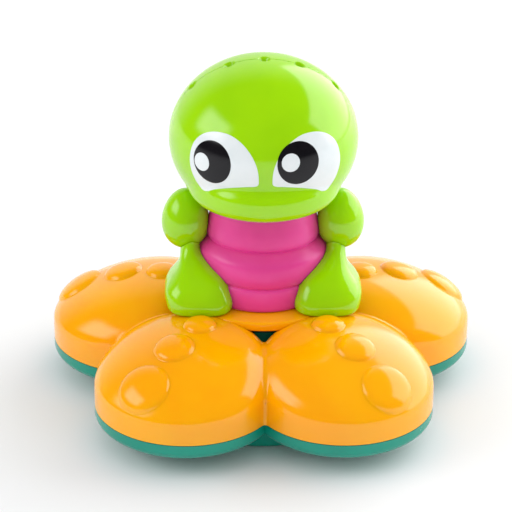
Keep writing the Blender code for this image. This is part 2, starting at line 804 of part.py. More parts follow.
deck_seat_z = DECK_Z + DECK_THICKNESS / 2.0
cut(
    deck,
    rods("body_sinks", [(HEAD + GAP, DECK_Z - WALL, deck_seat_z, at) for at in BODY_SCREW_PLACES]),
)
through = [(SHANK + GAP, DECK_Z - WALL, DECK_TOP_Z + WALL, at) for at in BODY_SCREW_PLACES]
cut(deck, rods("body_ways", through, steps=SCREW_STEPS))

# Well tray under the deck, with the pod over the motor
tray_radius = OPENING_RADIUS + TRAY_LAP
spigot = OPENING_RADIUS - GAP
tray_profile = (
    (0.0, TRAY_TOP_Z),
    (spigot - TRAY_WALL, TRAY_TOP_Z),
    (spigot - TRAY_WALL, TRAY_WALL_TOP_Z),
    (spigot, TRAY_WALL_TOP_Z),
    (spigot, TRAY_TOP_Z),
    (tray_radius, TRAY_TOP_Z),
    (tray_radius, TRAY_Z),
    (0.0, TRAY_Z),
)
well_tray = turned("well_tray", tray_profile, TEAL)
pod_top = POD_CEILING_Z + POD_WALL
pod_low = TRAY_Z + GAP
join(well_tray, rod("pod", POD_BORE + POD_WALL, pod_low, pod_top, pump_at, steps=24))
raised_pads = [(PAD_RADIUS, pod_low, PAD_TOP_Z, at) for at in POST_PLACES]
raised_pads.append((TUBE_RADIUS + GAP + COLLAR_WALL, pod_low, TRAY_WALL_TOP_Z, (0.0, 0.0)))
join(well_tray, rods("raised_pads", raised_pads))
drains = [(DRAIN_BORE + DRAIN_WALL, DRAIN_FOOT_Z, TRAY_Z + GAP, at) for at in DRAIN_PLACES]
join(well_tray, rods("drain_pipes", drains))
cut(well_tray, rod("pod_bore", POD_BORE, 0.0, POD_CEILING_Z, pump_at, steps=24))
tray_cuts = [(HEAD + GAP, 0.0, PAD_SEAT_Z, at) for at in POST_PLACES]
tray_cuts += [(DRAIN_BORE, -WALL, RIM_Z + WALL * 2.0, at) for at in DRAIN_PLACES]
tray_cuts.append((TUBE_RADIUS + GAP, 0.0, DECK_Z, (0.0, 0.0)))
cut(well_tray, rods("tray_cuts", tray_cuts))
cut(
    well_tray,
    rods("pad_ways", [(SHANK + GAP, 0.0, DECK_Z, at) for at in POST_PLACES], steps=SCREW_STEPS),
)

# Intake grille
grille = rod("intake_grille", GRILLE_RADIUS, GAP, GAP + GRILLE_THICKNESS, pump_at, TEAL, steps=24)
for index in range(GRILLE_SLOTS):
    offset = (index - (GRILLE_SLOTS - 1) / 2.0) * 2.0 * GRILLE_SLOT
    reach = math.sqrt(GRILLE_HOLE ** 2 - offset ** 2) - GRILLE_SLOT / 2.0
    slot = block(
        "grille_slot_" + str(index),
        (offset - GRILLE_SLOT / 2.0, offset + GRILLE_SLOT / 2.0),
        (PUMP_Y - reach, PUMP_Y + reach),
        (-WALL, WALL),
    )
    cut(grille, slot)

# Pump casing: volute, duct to the hub axis and socket for the riser
casing = rod("pump_casing", CASING_RADIUS, CASING_Z, CASING_TOP_Z, pump_at, NATURAL, steps=24)
duct_end = TUBE_RADIUS + SOCKET_WALL
duct_x = (-DUCT_HALF_WIDTH, DUCT_HALF_WIDTH)
join(casing, block("duct", duct_x, (PUMP_Y, duct_end), (CASING_Z, CASING_TOP_Z)))
socket_top = CASING_TOP_Z + SOCKET_DEPTH / 2.0
join(casing, rod("socket", TUBE_RADIUS + GAP + SOCKET_WALL, CASING_Z + CASING_WALL, socket_top))
volute_low = CASING_Z + CASING_WALL
volute_top = CASING_TOP_Z - CASING_WALL
volute = rod("volute", CASING_RADIUS - CASING_WALL, volute_low, volute_top, pump_at, steps=24)
duct_inside = (CASING_WALL - DUCT_HALF_WIDTH, DUCT_HALF_WIDTH - CASING_WALL)
duct_reach = (PUMP_Y, duct_end - CASING_WALL)
join(volute, block("duct_inside", duct_inside, duct_reach, (volute_low, volute_top)))
join(volute, rod("inlet", INLET_RADIUS, 0.0, CASING_HEIGHT / 2.0, pump_at))
join(volute, rod("shaft_way", SEAL_RADIUS + GAP, CASING_HEIGHT / 2.0, RIM_Z, pump_at))
join(volute, rod("socket_bore", TUBE_RADIUS + GAP, CASING_HEIGHT / 2.0, RIM_Z))
cut(casing, volute)

# Turning parts, each with its origin on the pump axis
impeller_low = volute_low + IMPELLER_RUN
impeller_at = (0.0, PUMP_Y, impeller_low)
impeller_bore = SHAFT_RADIUS + GAP
impeller_profile = (
    (impeller_bore, IMPELLER_HEIGHT),
    (IMPELLER_HUB, IMPELLER_HEIGHT),
    (IMPELLER_HUB, IMPELLER_DISC),
    (IMPELLER_RADIUS, IMPELLER_DISC),
    (IMPELLER_RADIUS, 0.0),
    (impeller_bore, 0.0),
)
impeller = turned("impeller", impeller_profile, NATURAL, impeller_at, steps=24, closed=True)
for index in range(VANES):
    vane = block(
        "vane_" + str(index),
        (IMPELLER_HUB - VANE_ROOT, IMPELLER_RADIUS - GAP),
        (-VANE_WIDTH / 2.0, VANE_WIDTH / 2.0),
        (IMPELLER_DISC - VANE_ROOT, IMPELLER_HEIGHT - GAP),
    )
    turn = Matrix.Rotation(2.0 * math.pi * (index + 0.5) / VANES, 4, "Z")
    vane.matrix_world = Matrix.Translation(impeller_at) @ turn @ Matrix.Translation(vane.location)
    join(impeller, vane)
shaft_top = MOTOR_Z - GAP
turned(
    "motor_shaft",
    (
        (0.0, shaft_top - impeller_low),
        (SHAFT_RADIUS, shaft_top - impeller_low),
        (SHAFT_RADIUS, 0.0),
        (0.0, 0.0),
    ),
    STEEL,
    impeller_at,
    steps=14,
)
ring(
    "shaft_seal",
    SEAL_RADIUS,
    SHAFT_RADIUS + GAP,
    volute_top,
    CASING_TOP_Z,
    RUBBER,
    (0.0, PUMP_Y, 0.0),
    steps=20,
)
motor = rod("motor_can", MOTOR_RADIUS, MOTOR_Z, MOTOR_Z + MOTOR_LENGTH, pump_at, STEEL, steps=24)
flats = block(
    "motor_flats",
    (-MOTOR_RADIUS * 2.0, MOTOR_RADIUS * 2.0),
    (PUMP_Y - MOTOR_HALF_DEPTH, PUMP_Y + MOTOR_HALF_DEPTH),
    (0.0, DECK_Z),
)
common(motor, flats)
join(motor, rod("motor_nose", MOTOR_NOSE_RADIUS, CASING_TOP_Z + GAP, MOTOR_Z + GAP, pump_at))
cut(motor, rod("shaft_bore", SHAFT_RADIUS + GAP, 0.0, MOTOR_Z, pump_at, steps=14))
end_cap = rod(
    "motor_end_cap", MOTOR_RADIUS, END_CAP_Z, END_CAP_Z + END_CAP_LENGTH, pump_at, CHARCOAL, steps=24
)
common(end_cap, flats)

# Riser and spray manifold
ring(
    "riser_tube",
    TUBE_RADIUS,
    TUBE_BORE,
    TUBE_FOOT_Z,
    MANIFOLD_Z + SOCKET_DEPTH - GAP,
    NATURAL,
    steps=SMALL_STEPS,
)


def head_point(degrees, inset=0.0):
    """Point of the head's surface in the frontal plane, at a parametric angle from the top."""
    angle = math.radians(degrees)
    across = (HEAD_HALF_WIDTH - inset) * math.sin(angle)
    return Vector((across, 0.0, HEAD_Z + (HEAD_HALF_HEIGHT - inset) * math.cos(angle)))


def spoke(name, start, end, radius, end_radius=None, steps=SCREW_STEPS):
    """Cylinder or cone between two points."""
    along = end - start
    bm = bmesh.new()
    bmesh.ops.create_cone(
        bm,
        cap_ends=True,
        segments=steps,
        radius1=radius,
        radius2=radius if end_radius is None else end_radius,
        depth=along.length,
    )
    made = place(name, mesh_from(bm, name))
    turn = along.to_track_quat("Z", "Y").to_matrix().to_4x4()
    made.matrix_world = Matrix.Translation((start + end) / 2.0) @ turn
    return made


head_middle = Vector((0.0, 0.0, HEAD_Z))
manifold = ball(
    "spray_manifold", head_middle, (HUB_RADIUS,) * 3, NATURAL, LIMB_SEGMENTS, LIMB_RINGS
)
join(manifold, rod("hub_neck", TUBE_RADIUS + GAP + SOCKET_WALL, MANIFOLD_Z, HEAD_Z))
for index, degrees in enumerate(NOZZLE_ANGLES):
    tip = head_point(degrees, HEAD_WALL + 2.0 * GAP)
    join(manifold, spoke("nozzle_" + str(index), head_middle, tip, NOZZLE_RADIUS))
manifold_socket = rod("manifold_socket", TUBE_RADIUS + GAP, 0.0, MANIFOLD_Z + SOCKET_DEPTH)
cut(manifold, manifold_socket)
cut(manifold, rod("hub_bore", TUBE_BORE, MANIFOLD_Z, HEAD_Z))
for index, degrees in enumerate(NOZZLE_ANGLES):
    out = head_point(degrees, -WALL)
    cut(manifold, spoke("nozzle_bore_" + str(index), head_middle, out, NOZZLE_BORE, steps=8))

# Body of the turtle
seat_tool = ball(
    "head_seat",
    head_middle,
    (HEAD_HALF_WIDTH + GAP, HEAD_HALF_DEPTH + GAP, HEAD_HALF_HEIGHT + GAP),
)
inner_turns = [(radius - BODY_WALL, height) for radius, height in BODY_PROFILE[::-3]]
inner_turns = [turn for turn in inner_turns if turn[1] < BODY_CEILING_Z]
body_profile = [(TUBE_RADIUS + GAP, BODY_PROFILE[0][1])]
body_profile += list(BODY_PROFILE)
body_profile += inner_turns
body_profile += [(inner_turns[-1][0], BODY_CEILING_Z), (TUBE_RADIUS + GAP, BODY_CEILING_Z)]
body = turned("body_shell", body_profile, PINK, closed=True)
bosses = [
    (BODY_BOSS, BODY_Z, BODY_Z + BODY_BOSS_HEIGHT, at) for at in BODY_SCREW_PLACES
]
join(body, rods("body_bosses", bosses))
cut(body, seat_tool)
BODY_TIP_Z = deck_seat_z - GAP + BODY_SCREW_LENGTH
body_pilots = [(SHANK + GAP, 0.0, BODY_TIP_Z + PILOT_EXTRA, at) for at in BODY_SCREW_PLACES]
NECK_PLACES = [(0.0, -NECK_SCREW_Y), (0.0, NECK_SCREW_Y)]
body_pilots += [(SHANK + GAP, BODY_CEILING_Z - WALL, HEAD_Z, at) for at in NECK_PLACES]
cut(body, rods("body_pilots", body_pilots, steps=SCREW_STEPS))

# Shape that arms, legs and carapace are trimmed against
trim_profile = [(0.0, BODY_PROFILE[0][1] + WALL)]
trim_profile += [(radius + GAP, height) for radius, height in BODY_PROFILE]
trim_profile += [(BODY_PROFILE[-1][0] + GAP, DECK_Z), (0.0, DECK_Z)]
body_trim = turned("body_trim", trim_profile)
below_deck = rod("below_deck", 2.0 * DECK_RADIUS, 0.0, BODY_Z, steps=TURN_STEPS)

carapace = ball("carapace", SHELL_CENTRE, SHELL_HALF, PINK, SHELL_SEGMENTS, SHELL_RINGS)
cut(carapace, body_trim, seat_tool, below_deck)



def mirrored_at(side, centre):
    return (side * centre[0], centre[1], centre[2])


def leg(name, side, skin):
    """Leg lofted through its oval sections, closed at the sole and at the top."""
    bm = bmesh.new()
    rows = []
    for height, x, y, half_x, half_y in LEG_SECTIONS:
        row = []
        for step in range(LEG_SIDES):
            turn = 2.0 * math.pi * step / LEG_SIDES
            across = side * x + half_x * math.cos(turn)
            row.append(bm.verts.new((across, y + half_y * math.sin(turn), BODY_Z + height)))
        rows.append(row)
    for lower, upper in zip(rows, rows[1:]):
        for step in range(LEG_SIDES):
            after = (step + 1) % LEG_SIDES
            bm.faces.new((lower[step], lower[after], upper[after], upper[step]))
    bm.faces.new(rows[0][::-1])
    bm.faces.new(rows[-1])
    return place(name, mesh_from(bm, name), skin)


shell_grown = tuple(half + GAP for half in SHELL_HALF)
shell_trim = ball("shell_trim", SHELL_CENTRE, shell_grown, None, SHELL_SEGMENTS, SHELL_RINGS)
lobe_trim = upper_lobes("lobe_trim", -GAP, 0.0)
arm_grown = tuple(half + GAP for half in ARM_HALF)
for side, label in ((-1.0, "left"), (1.0, "right")):
    arm_at = mirrored_at(side, ARM_CENTRE)
    arm = ball("arm_" + label, arm_at, ARM_HALF, GREEN, LIMB_SEGMENTS, LIMB_RINGS)
    arm_trim = ball("arm_trim_" + label, arm_at, arm_grown, None, LIMB_SEGMENTS, LIMB_RINGS)
    cut(arm, body_trim, seat_tool, shell_trim)
    cut(leg("leg_" + label, side, GREEN), body_trim, arm_trim, shell_trim, lobe_trim)

# Head in two shells, parted in the frontal plane
half_gap = GAP / 2.0
far = 2.0 * HEAD_HALF_WIDTH
front_space = block("front_space", (-far, far), (-far, -half_gap), (0.0, HEAD_Z + far))
rear_space = block("rear_space", (-far, far), (half_gap, far), (0.0, HEAD_Z + far))
muzzle = ball("muzzle", MUZZLE_CENTRE, MUZZLE_HALF, None, SHELL_SEGMENTS, BALL_RINGS)
head_inside = ball(
    "head_inside",
    head_middle,
    (HEAD_HALF_WIDTH - HEAD_WALL, HEAD_HALF_DEPTH - HEAD_WALL, HEAD_HALF_HEIGHT - HEAD_WALL),
)
boss_low = HEAD_Z - HEAD_HALF_HEIGHT
boss_top = boss_low + NECK_BOSS_HEIGHT
neck_bosses = [(NECK_BOSS, 0.0, boss_top, at) for at in NECK_PLACES]
cut(head_inside, rods("neck_bosses", neck_bosses))
neck_seat_z = BODY_CEILING_Z
neck_tip = neck_seat_z - GAP + NECK_SCREW_LENGTH
neck_ways = [(SHANK + GAP, 0.0, neck_tip + PILOT_EXTRA, at) for at in NECK_PLACES]
neck_ways.append((TUBE_RADIUS + GAP, 0.0, MANIFOLD_Z, (0.0, 0.0)))
neck_tool = rods("neck_ways", neck_ways)
head_size = (HEAD_HALF_WIDTH, HEAD_HALF_DEPTH, HEAD_HALF_HEIGHT)
head_front = ball("head_front", head_middle, head_size, GREEN)
join(head_front, muzzle)
cut(head_front, head_inside, neck_tool)
common(head_front, front_space)
head_rear = ball("head_rear", head_middle, head_size, GREEN)
cut(head_rear, head_inside, neck_tool)
common(head_rear, rear_space)
for index, degrees in enumerate(NOZZLE_ANGLES):
    skin_point = head_point(degrees)
    axis = (skin_point - head_middle).normalized()
    throat = spoke(
        "throat_" + str(index), skin_point - axis * HEAD_WALL * 2.0, skin_point, NOZZLE_THROAT
    )
    mouth = spoke(
        "mouth_" + str(index),
        skin_point - axis * NOZZLE_SINK,
        skin_point + axis * NOZZLE_FLARE,
        NOZZLE_THROAT,
        NOZZLE_MOUTH,
        steps=MOUTH_STEPS,
    )
    cut(head_front, throat, mouth)
    cut(head_rear, throat, mouth)


# Printed eyes: thin skins that follow the head
def print_skin(name, skin, layer):
    lift = PRINT_LIFT + layer * (PRINT_THICKNESS + PRINT_LIFT)
    outer = tuple(half + lift + PRINT_THICKNESS for half in head_size)
    made = ball(name, head_middle, outer, skin)
    under = ball(name + "_under", head_middle, tuple(half + lift for half in head_size))
    return cut(made, under)


def face_point(across, height):
    """Point of the head's front surface and the normal there."""
    rest = 1.0 - (across / HEAD_HALF_WIDTH) ** 2 - ((height - HEAD_Z) / HEAD_HALF_HEIGHT) ** 2
    point = Vector((across, -HEAD_HALF_DEPTH * math.sqrt(rest), height))
    lean = point - head_middle
    lean.x /= HEAD_HALF_WIDTH ** 2
    lean.y /= HEAD_HALF_DEPTH ** 2
    lean.z /= HEAD_HALF_HEIGHT ** 2
    return point, lean.normalized()


def round_print(name, skin, layer, at, radius):
    point, normal = face_point(*at)
    reach = normal * PRINT_REACH
    outline = spoke(name + "_outline", point - reach, point + reach, radius, steps=PRINT_SIDES)
    return common(print_skin(name, skin, layer), outline)


def eye_print(name, skin, side):
    """White of one eye, cut out by its outline and kept clear of the muzzle."""
    bm = bmesh.new()
    rim = [bm.verts.new((side * across, -far, height)) for across, height in EYE_OUTLINE]
    face = bm.faces.new(rim)
    grown = bmesh.ops.extrude_face_region(bm, geom=[face])
    moved = [item for item in grown["geom"] if isinstance(item, bmesh.types.BMVert)]
    bmesh.ops.translate(bm, verts=moved, vec=(0.0, far, 0.0))
    outline = place(name + "_outline", mesh_from(bm, name + "_outline"))
    return cut(common(print_skin(name, skin, 0), outline), muzzle_trim)


muzzle_grown = tuple(half + 2.0 * GAP for half in MUZZLE_HALF)
muzzle_trim = ball("muzzle_trim", MUZZLE_CENTRE, muzzle_grown, None, SHELL_SEGMENTS, BALL_RINGS)
for index, (side, label) in enumerate(((-1.0, "left"), (1.0, "right"))):
    eye_print("eye_white_" + label, WHITE, side)
    round_print("pupil_" + label, BLACK, 1, PUPIL_PLACES[index], PUPIL_RADIUS)
    round_print("glint_" + label, WHITE, 2, GLINT_PLACES[index], GLINT_RADIUS)

# Cells with their contacts, every second one turned round
for index in range(CELL_COUNT):
    number = str(index + 1)
    way = 1.0 if index % 2 == 0 else -1.0
    cell_y = FIRST_CELL_Y + index * CELL_PITCH
    nub_x = BOX_HALF_X - 2.0 * GAP - PLATE_THICKNESS
    profile = (
        (0.0, nub_x),
        (CELL_NUB_RADIUS, nub_x),
        (CELL_NUB_RADIUS, nub_x - CELL_NUB),
        (CELL_RADIUS - CELL_EDGE, nub_x - CELL_NUB),
        (CELL_RADIUS, nub_x - CELL_NUB - CELL_EDGE),
        (CELL_RADIUS, nub_x - CELL_NUB - CELL_LENGTH),
        (0.0, nub_x - CELL_NUB - CELL_LENGTH),
    )
    cell = turned("battery_" + number, profile, CELL_SKIN, steps=20)
    lie = Matrix.Rotation(way * math.pi / 2.0, 4, "Y")
    cell.matrix_world = Matrix.Translation((0.0, cell_y, CELL_Z)) @ lie
    wall_x = way * BOX_HALF_X
    near = wall_x - way * GAP
    plate_x = sorted((near, near - way * PLATE_THICKNESS))
    block(
        "contact_plate_" + number,
        plate_x,
        (cell_y - PLATE_HALF, cell_y + PLATE_HALF),
        (CELL_Z - PLATE_HALF, CELL_Z + PLATE_HALF),
        STEEL,
    )
    spring_start = -BOX_HALF_X + GAP + SPRING_WIRE
    spring_end = nub_x - CELL_NUB - CELL_LENGTH - GAP - SPRING_WIRE
    curve = bpy.data.curves.new("contact_spring_" + number, "CURVE")
    curve.dimensions = "3D"
    curve.bevel_depth = SPRING_WIRE
    curve.bevel_resolution = 1
    curve.use_fill_caps = True
    spline = curve.splines.new("POLY")
    count = SPRING_TURNS * SPRING_POINTS + 1
    spline.points.add(count - 1)
    for step in range(count):
        share = step / (count - 1)
        angle = 2.0 * math.pi * step / SPRING_POINTS
        radius = SPRING_RADIUS + (SPRING_TIP_RADIUS - SPRING_RADIUS) * share
        along = spring_start + share * (spring_end - spring_start)
        point = (way * along, radius * math.cos(angle), radius * math.sin(angle), 1.0)
        spline.points[step].co = point
    coil = bpy.data.objects.new("contact_spring_" + number, curve)
    coil.location = (0.0, cell_y, CELL_Z)
    curve.materials.append(STEEL)
    parts.objects.link(coil)

# Battery door with its ears, gasket and screws
door = block(
    "battery_door", (-DOOR_HALF_X, DOOR_HALF_X), (DOOR_FRONT, DOOR_BACK), (GAP, DOOR_TOP_Z), TEAL
)
ears = [(DOOR_EAR, GAP, GAP + DOOR_EAR_HEIGHT, at) for at in DOOR_SCREW_PLACES]
join(door, rods("door_ears", ears, steps=20))
sinks = [(HEAD + GAP, -WALL, DOOR_SEAT_Z, at) for at in DOOR_SCREW_PLACES]
cut(door, rods("door_sinks", sinks))
cut(
    door,
    rods("door_ways", [(SHANK + GAP, -WALL, RIM_Z, at) for at in DOOR_SCREW_PLACES], steps=SCREW_STEPS),
)
seal_z = (DOOR_TOP_Z + GAP, DOOR_TOP_Z + GAP + DOOR_GASKET_HEIGHT)
seal_in = BOX_HALF_X + GAP
door_gasket = block(
    "door_gasket",
    (-SEAL_HALF_X, SEAL_HALF_X),
    (BOX_FRONT - GAP - DOOR_GASKET_WIDTH, BOX_BACK + GAP + DOOR_GASKET_WIDTH),
    seal_z,
    RUBBER,
)
cut(
    door_gasket,
    block("seal_inside", (-seal_in, seal_in), (BOX_FRONT - GAP, BOX_BACK + GAP), (0.0, RIM_Z)),
)

# Power button under the hull, its switch and the board that carries it
button = rod(
    "power_button", BUTTON_RADIUS, BUTTON_FACE_Z, FLOOR + GAP * 2.0, button_at, ORANGE, steps=24
)
flange_low = FLOOR + GAP
flange_top = flange_low + BUTTON_FLANGE_THICKNESS
join(button, rod("flange", BUTTON_RADIUS + BUTTON_FLANGE, flange_low, flange_top, button_at, steps=24))
join(button, rod("stem", BUTTON_STEM, flange_low + GAP, STEM_TOP_Z, button_at))
switch_x = (BUTTON_X - SWITCH_HALF, BUTTON_X + SWITCH_HALF)
switch_y = (BUTTON_Y - SWITCH_HALF, BUTTON_Y + SWITCH_HALF)
switch = block("tact_switch", switch_x, switch_y, (SWITCH_Z, SWITCH_Z + SWITCH_HEIGHT), CHARCOAL)
join(switch, rod("plunger", PLUNGER_RADIUS, SWITCH_Z - PLUNGER_HEIGHT, SWITCH_Z + GAP, button_at))
block(
    "circuit_board",
    (BUTTON_X - BOARD_HALF_X, BUTTON_X + BOARD_HALF_X),
    (BUTTON_Y - BOARD_HALF_Y, BUTTON_Y + BOARD_HALF_Y),
    (BOARD_Z, BOARD_Z + BOARD_THICKNESS),
    BOARD_GREEN,
)

# Screws
for group, places, seat_z, length in (
    ("hull_screw_", HULL_SCREW_PLACES, HULL_SEAT_Z, HULL_SCREW_LENGTH),
    ("deck_screw_", POST_PLACES, PAD_SEAT_Z, DECK_SCREW_LENGTH),
    ("turtle_screw_", BODY_SCREW_PLACES, deck_seat_z, BODY_SCREW_LENGTH),
    ("neck_screw_", NECK_PLACES, neck_seat_z, NECK_SCREW_LENGTH),
    ("door_screw_", DOOR_SCREW_PLACES, DOOR_SEAT_Z, DOOR_SCREW_LENGTH),
):
    for index, at in enumerate(places):
        screw(group + str(index + 1), at, seat_z, length)
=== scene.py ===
"""Looks of the bath toy turtle: a ribbed pink body and a round green head on a lobed star float.

Lengths are metres unless a name says mm, +Z is up and the turtle looks along -Y.
"""

import logging
import math
from collections.abc import Callable, Iterator, Sequence
from contextlib import contextmanager
from dataclasses import dataclass, field
from enum import Enum

import bmesh
import bpy
import numpy as np
from mathutils import Matrix, Quaternion, Vector


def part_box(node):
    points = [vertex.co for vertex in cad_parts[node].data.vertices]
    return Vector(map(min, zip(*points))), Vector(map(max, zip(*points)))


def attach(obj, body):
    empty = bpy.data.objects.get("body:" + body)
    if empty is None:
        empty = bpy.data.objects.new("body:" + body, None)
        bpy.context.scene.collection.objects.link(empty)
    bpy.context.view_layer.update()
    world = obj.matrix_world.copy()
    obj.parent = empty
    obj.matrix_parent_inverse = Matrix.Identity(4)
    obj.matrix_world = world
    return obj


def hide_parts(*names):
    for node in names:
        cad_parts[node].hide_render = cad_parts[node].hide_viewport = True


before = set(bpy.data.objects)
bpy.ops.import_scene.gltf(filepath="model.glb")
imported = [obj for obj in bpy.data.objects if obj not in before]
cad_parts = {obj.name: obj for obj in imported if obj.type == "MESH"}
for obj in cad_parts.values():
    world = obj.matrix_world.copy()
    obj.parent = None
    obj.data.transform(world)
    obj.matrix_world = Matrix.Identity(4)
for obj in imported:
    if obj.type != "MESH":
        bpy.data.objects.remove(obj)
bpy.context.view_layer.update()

MM = 0.001
GAP = 0.0003
MERGE = 0.00001
FAR = 0.2
# The two sides of what is there twice
PAIR = (-1.0, 1.0)

Point = tuple[float, float, float]
Piece = bpy.types.Object
log = logging.getLogger("turtle")

HEAD_MIDDLE: Point = (0.0, 0.0, 0.1155)
HEAD_HALF: Point = (0.0392, 0.0392, 0.0342)
MUZZLE_MIDDLE: Point = (0.0, -0.0080, 0.1000)


class Stock(Enum):
    """Primitive that a piece starts from."""

    BALL = "primitive_uv_sphere_add"
    ROD = "primitive_cylinder_add"
    DISC = "primitive_circle_add"
    BLOCK = "primitive_cube_add"


class Cut(Enum):
    """What a tool does to the piece that it meets."""

    AWAY = "DIFFERENCE"
    WITH = "UNION"
    WITHIN = "INTERSECT"


class Side(Enum):
    """Side of the toy as one sees it from the front."""

    LEFT = -1.0
    RIGHT = 1.0


# Modelling steps


def deselect() -> None:
    """Drop every selection, so that an operator meets only its own piece."""
    bpy.ops.object.select_all(action="DESELECT")


def take(piece: Piece) -> None:
    """Select one piece alone and make it active."""
    deselect()
    piece.select_set(True)
    bpy.context.view_layer.objects.active = piece


def start(name: str, stock: Stock, scale: Point = (1.0, 1.0, 1.0), **options: object) -> Piece:
    """Add the primitive that a piece starts from, its place kept in its mesh.

    Args:
        name: name of the piece.
        stock: kind of primitive.
        scale: stretch along each axis.
        options: sizes and place for the primitive's operator.

    Returns:
        The new object, at the origin, unturned and unscaled.
    """
    deselect()
    getattr(bpy.ops.mesh, stock.value)(**options)
    piece = bpy.context.active_object
    piece.name = piece.data.name = name
    piece.scale = scale
    bpy.ops.object.transform_apply(location=True, rotation=True, scale=True)
    return piece


@contextmanager
def editing(piece: Piece) -> Iterator[None]:
    """Hold one piece in edit mode."""
    take(piece)
    bpy.ops.object.mode_set(mode="EDIT")
    yield
    bpy.ops.object.mode_set(mode="OBJECT")


def pick(piece: Piece, kind: str, test: Callable[[Vector, Vector], bool]) -> int:
    """Select the points, edges or faces that a test of place and normal lets through.

    Args:
        piece: piece in edit mode.
        kind: VERT, EDGE or FACE.
        test: takes the middle and the normal of an item.

    Returns:
        How many items are selected.
    """
    bpy.ops.mesh.select_mode(type=kind)
    bpy.ops.mesh.select_all(action="DESELECT")
    mesh = bmesh.from_edit_mesh(piece.data)
    items = {"VERT": mesh.verts, "EDGE": mesh.edges, "FACE": mesh.faces}[kind]
    count = 0
    for item in items:
        if kind == "VERT":
            middle, normal = item.co, item.normal
        elif kind == "EDGE":
            middle = (item.verts[0].co + item.verts[1].co) / 2.0
            normal = item.verts[0].normal
        else:
            middle, normal = item.calc_center_median(), item.normal
        if test(middle, normal):
            item.select_set(True)
            count += 1
    mesh.select_flush_mode()
    bmesh.update_edit_mesh(piece.data)
    return count


def tidy_mesh(piece: Piece, merge: float = MERGE) -> None:
    """Merge doubled points and point every face outwards."""
    with editing(piece):
        bpy.ops.mesh.select_all(action="SELECT")
        bpy.ops.mesh.remove_doubles(threshold=merge)
        bpy.ops.mesh.normals_make_consistent(inside=False)


def places(piece: Piece) -> np.ndarray:
    """Give the places of a piece's points, one row each."""
    rows = np.empty(len(piece.data.vertices) * 3)
    piece.data.vertices.foreach_get("co", rows)
    return rows.reshape(-1, 3)


def move_points(piece: Piece, rows: np.ndarray) -> None:
    """Put a piece's points at the given places."""
    piece.data.vertices.foreach_set("co", np.ascontiguousarray(rows).ravel())
    piece.data.update()


def finish_step(piece: Piece, kind: str, **settings: object) -> None:
    """Add a modifier to a piece and apply it.

    Args:
        piece: piece that gets the modifier.
        kind: type of modifier.
        settings: the modifier's settings.
    """
    step = piece.modifiers.new(kind.lower(), kind)
    for key, value in settings.items():
        setattr(step, key, value)
    take(piece)
    bpy.ops.object.modifier_apply(modifier=step.name)


def carve(
    piece: Piece,
    *tools: Piece,
    how: Cut = Cut.AWAY,
    keep: bool = False,
    solver: str = "EXACT",
) -> Piece:
    """Cut, join or trim a piece with tools, which are then thrown away.

    Args:
        piece: piece that is worked on.
        tools: closed forms.
        how: what the tools do.
        keep: true where the tools are used again.
        solver: the modifier's solver.

    Returns:
        The same piece.
    """
    for tool in tools:
        finish_step(piece, "BOOLEAN", object=tool, operation=how.value, solver=solver)
        if not keep:
            bpy.data.objects.remove(tool)
    return piece


def gather(name: str, pieces: Sequence[Piece]) -> Piece:
    """Join several pieces into one object."""
    take(pieces[0])
    for piece in pieces[1:]:
        piece.select_set(True)
    if len(pieces) > 1:
        bpy.ops.object.join()
    pieces[0].name = pieces[0].data.name = name
    return pieces[0]


def copy_of(piece: Piece, name: str) -> Piece:
    """Copy a piece with a mesh of its own."""
    made = piece.copy()
    made.data = piece.data.copy()
    made.name = made.data.name = name
    bpy.context.scene.collection.objects.link(made)
    return made


def stand(piece: Piece, matrix: Matrix) -> Piece:
    """Turn and move a piece's mesh, its object left at the origin."""
    piece.data.transform(matrix)
    return piece


def round_hub(piece: Piece, count: int) -> list[Piece]:
    """Copy a piece round the hub and give it back with its copies, evenly spread."""
    made = [piece]
    for index in range(1, count):
        turn = Matrix.Rotation(2.0 * math.pi * index / count, 4, "Z")
        made.append(stand(copy_of(piece, piece.name), turn))
    return made


def soften(piece: Piece, angle: float = 35.0) -> None:
    """Shade smooth, with edges sharper than an angle in degrees kept crisp."""
    take(piece)
    bpy.ops.object.shade_smooth_by_angle(angle=math.radians(angle), keep_sharp_edges=False)


def rod(
    name: str,
    radius: float,
    low: float,
    high: float,
    at: tuple[float, float] = (0.0, 0.0),
    sides: int = 48,
    rounding: float = 0.0,
) -> Piece:
    """Upright cylinder between two heights.

    Args:
        name: name of the piece.
        radius: radius.
        low: lower height.
        high: upper height.
        at: place in plan.
        sides: number of sides.
        rounding: radius of the rounded ends, none if zero.

    Returns:
        The new piece.
    """
    middle = (at[0], at[1], (low + high) / 2.0)
    made = start(name, Stock.ROD, vertices=sides, radius=radius, depth=high - low, location=middle)
    if rounding > 0.0:
        with editing(made):
            pick(made, "FACE", lambda place, normal: abs(normal.z) > 0.9)
            bpy.ops.mesh.bevel(offset=rounding, segments=4)
    return made


def block(name: str, low: Point, high: Point, rounding: float = 0.0, segments: int = 3) -> Piece:
    """Box between two corners, its upright edges rounded."""
    size = tuple(b - a for a, b in zip(low, high))
    middle = tuple((a + b) / 2.0 for a, b in zip(low, high))
    made = start(name, Stock.BLOCK, scale=size, size=1.0, location=middle)
    if rounding > 0.0:
        with editing(made):
            pick(made, "EDGE", lambda place, normal: abs(place.z - middle[2]) < MERGE)
            bpy.ops.mesh.bevel(offset=rounding, segments=segments)
    return made


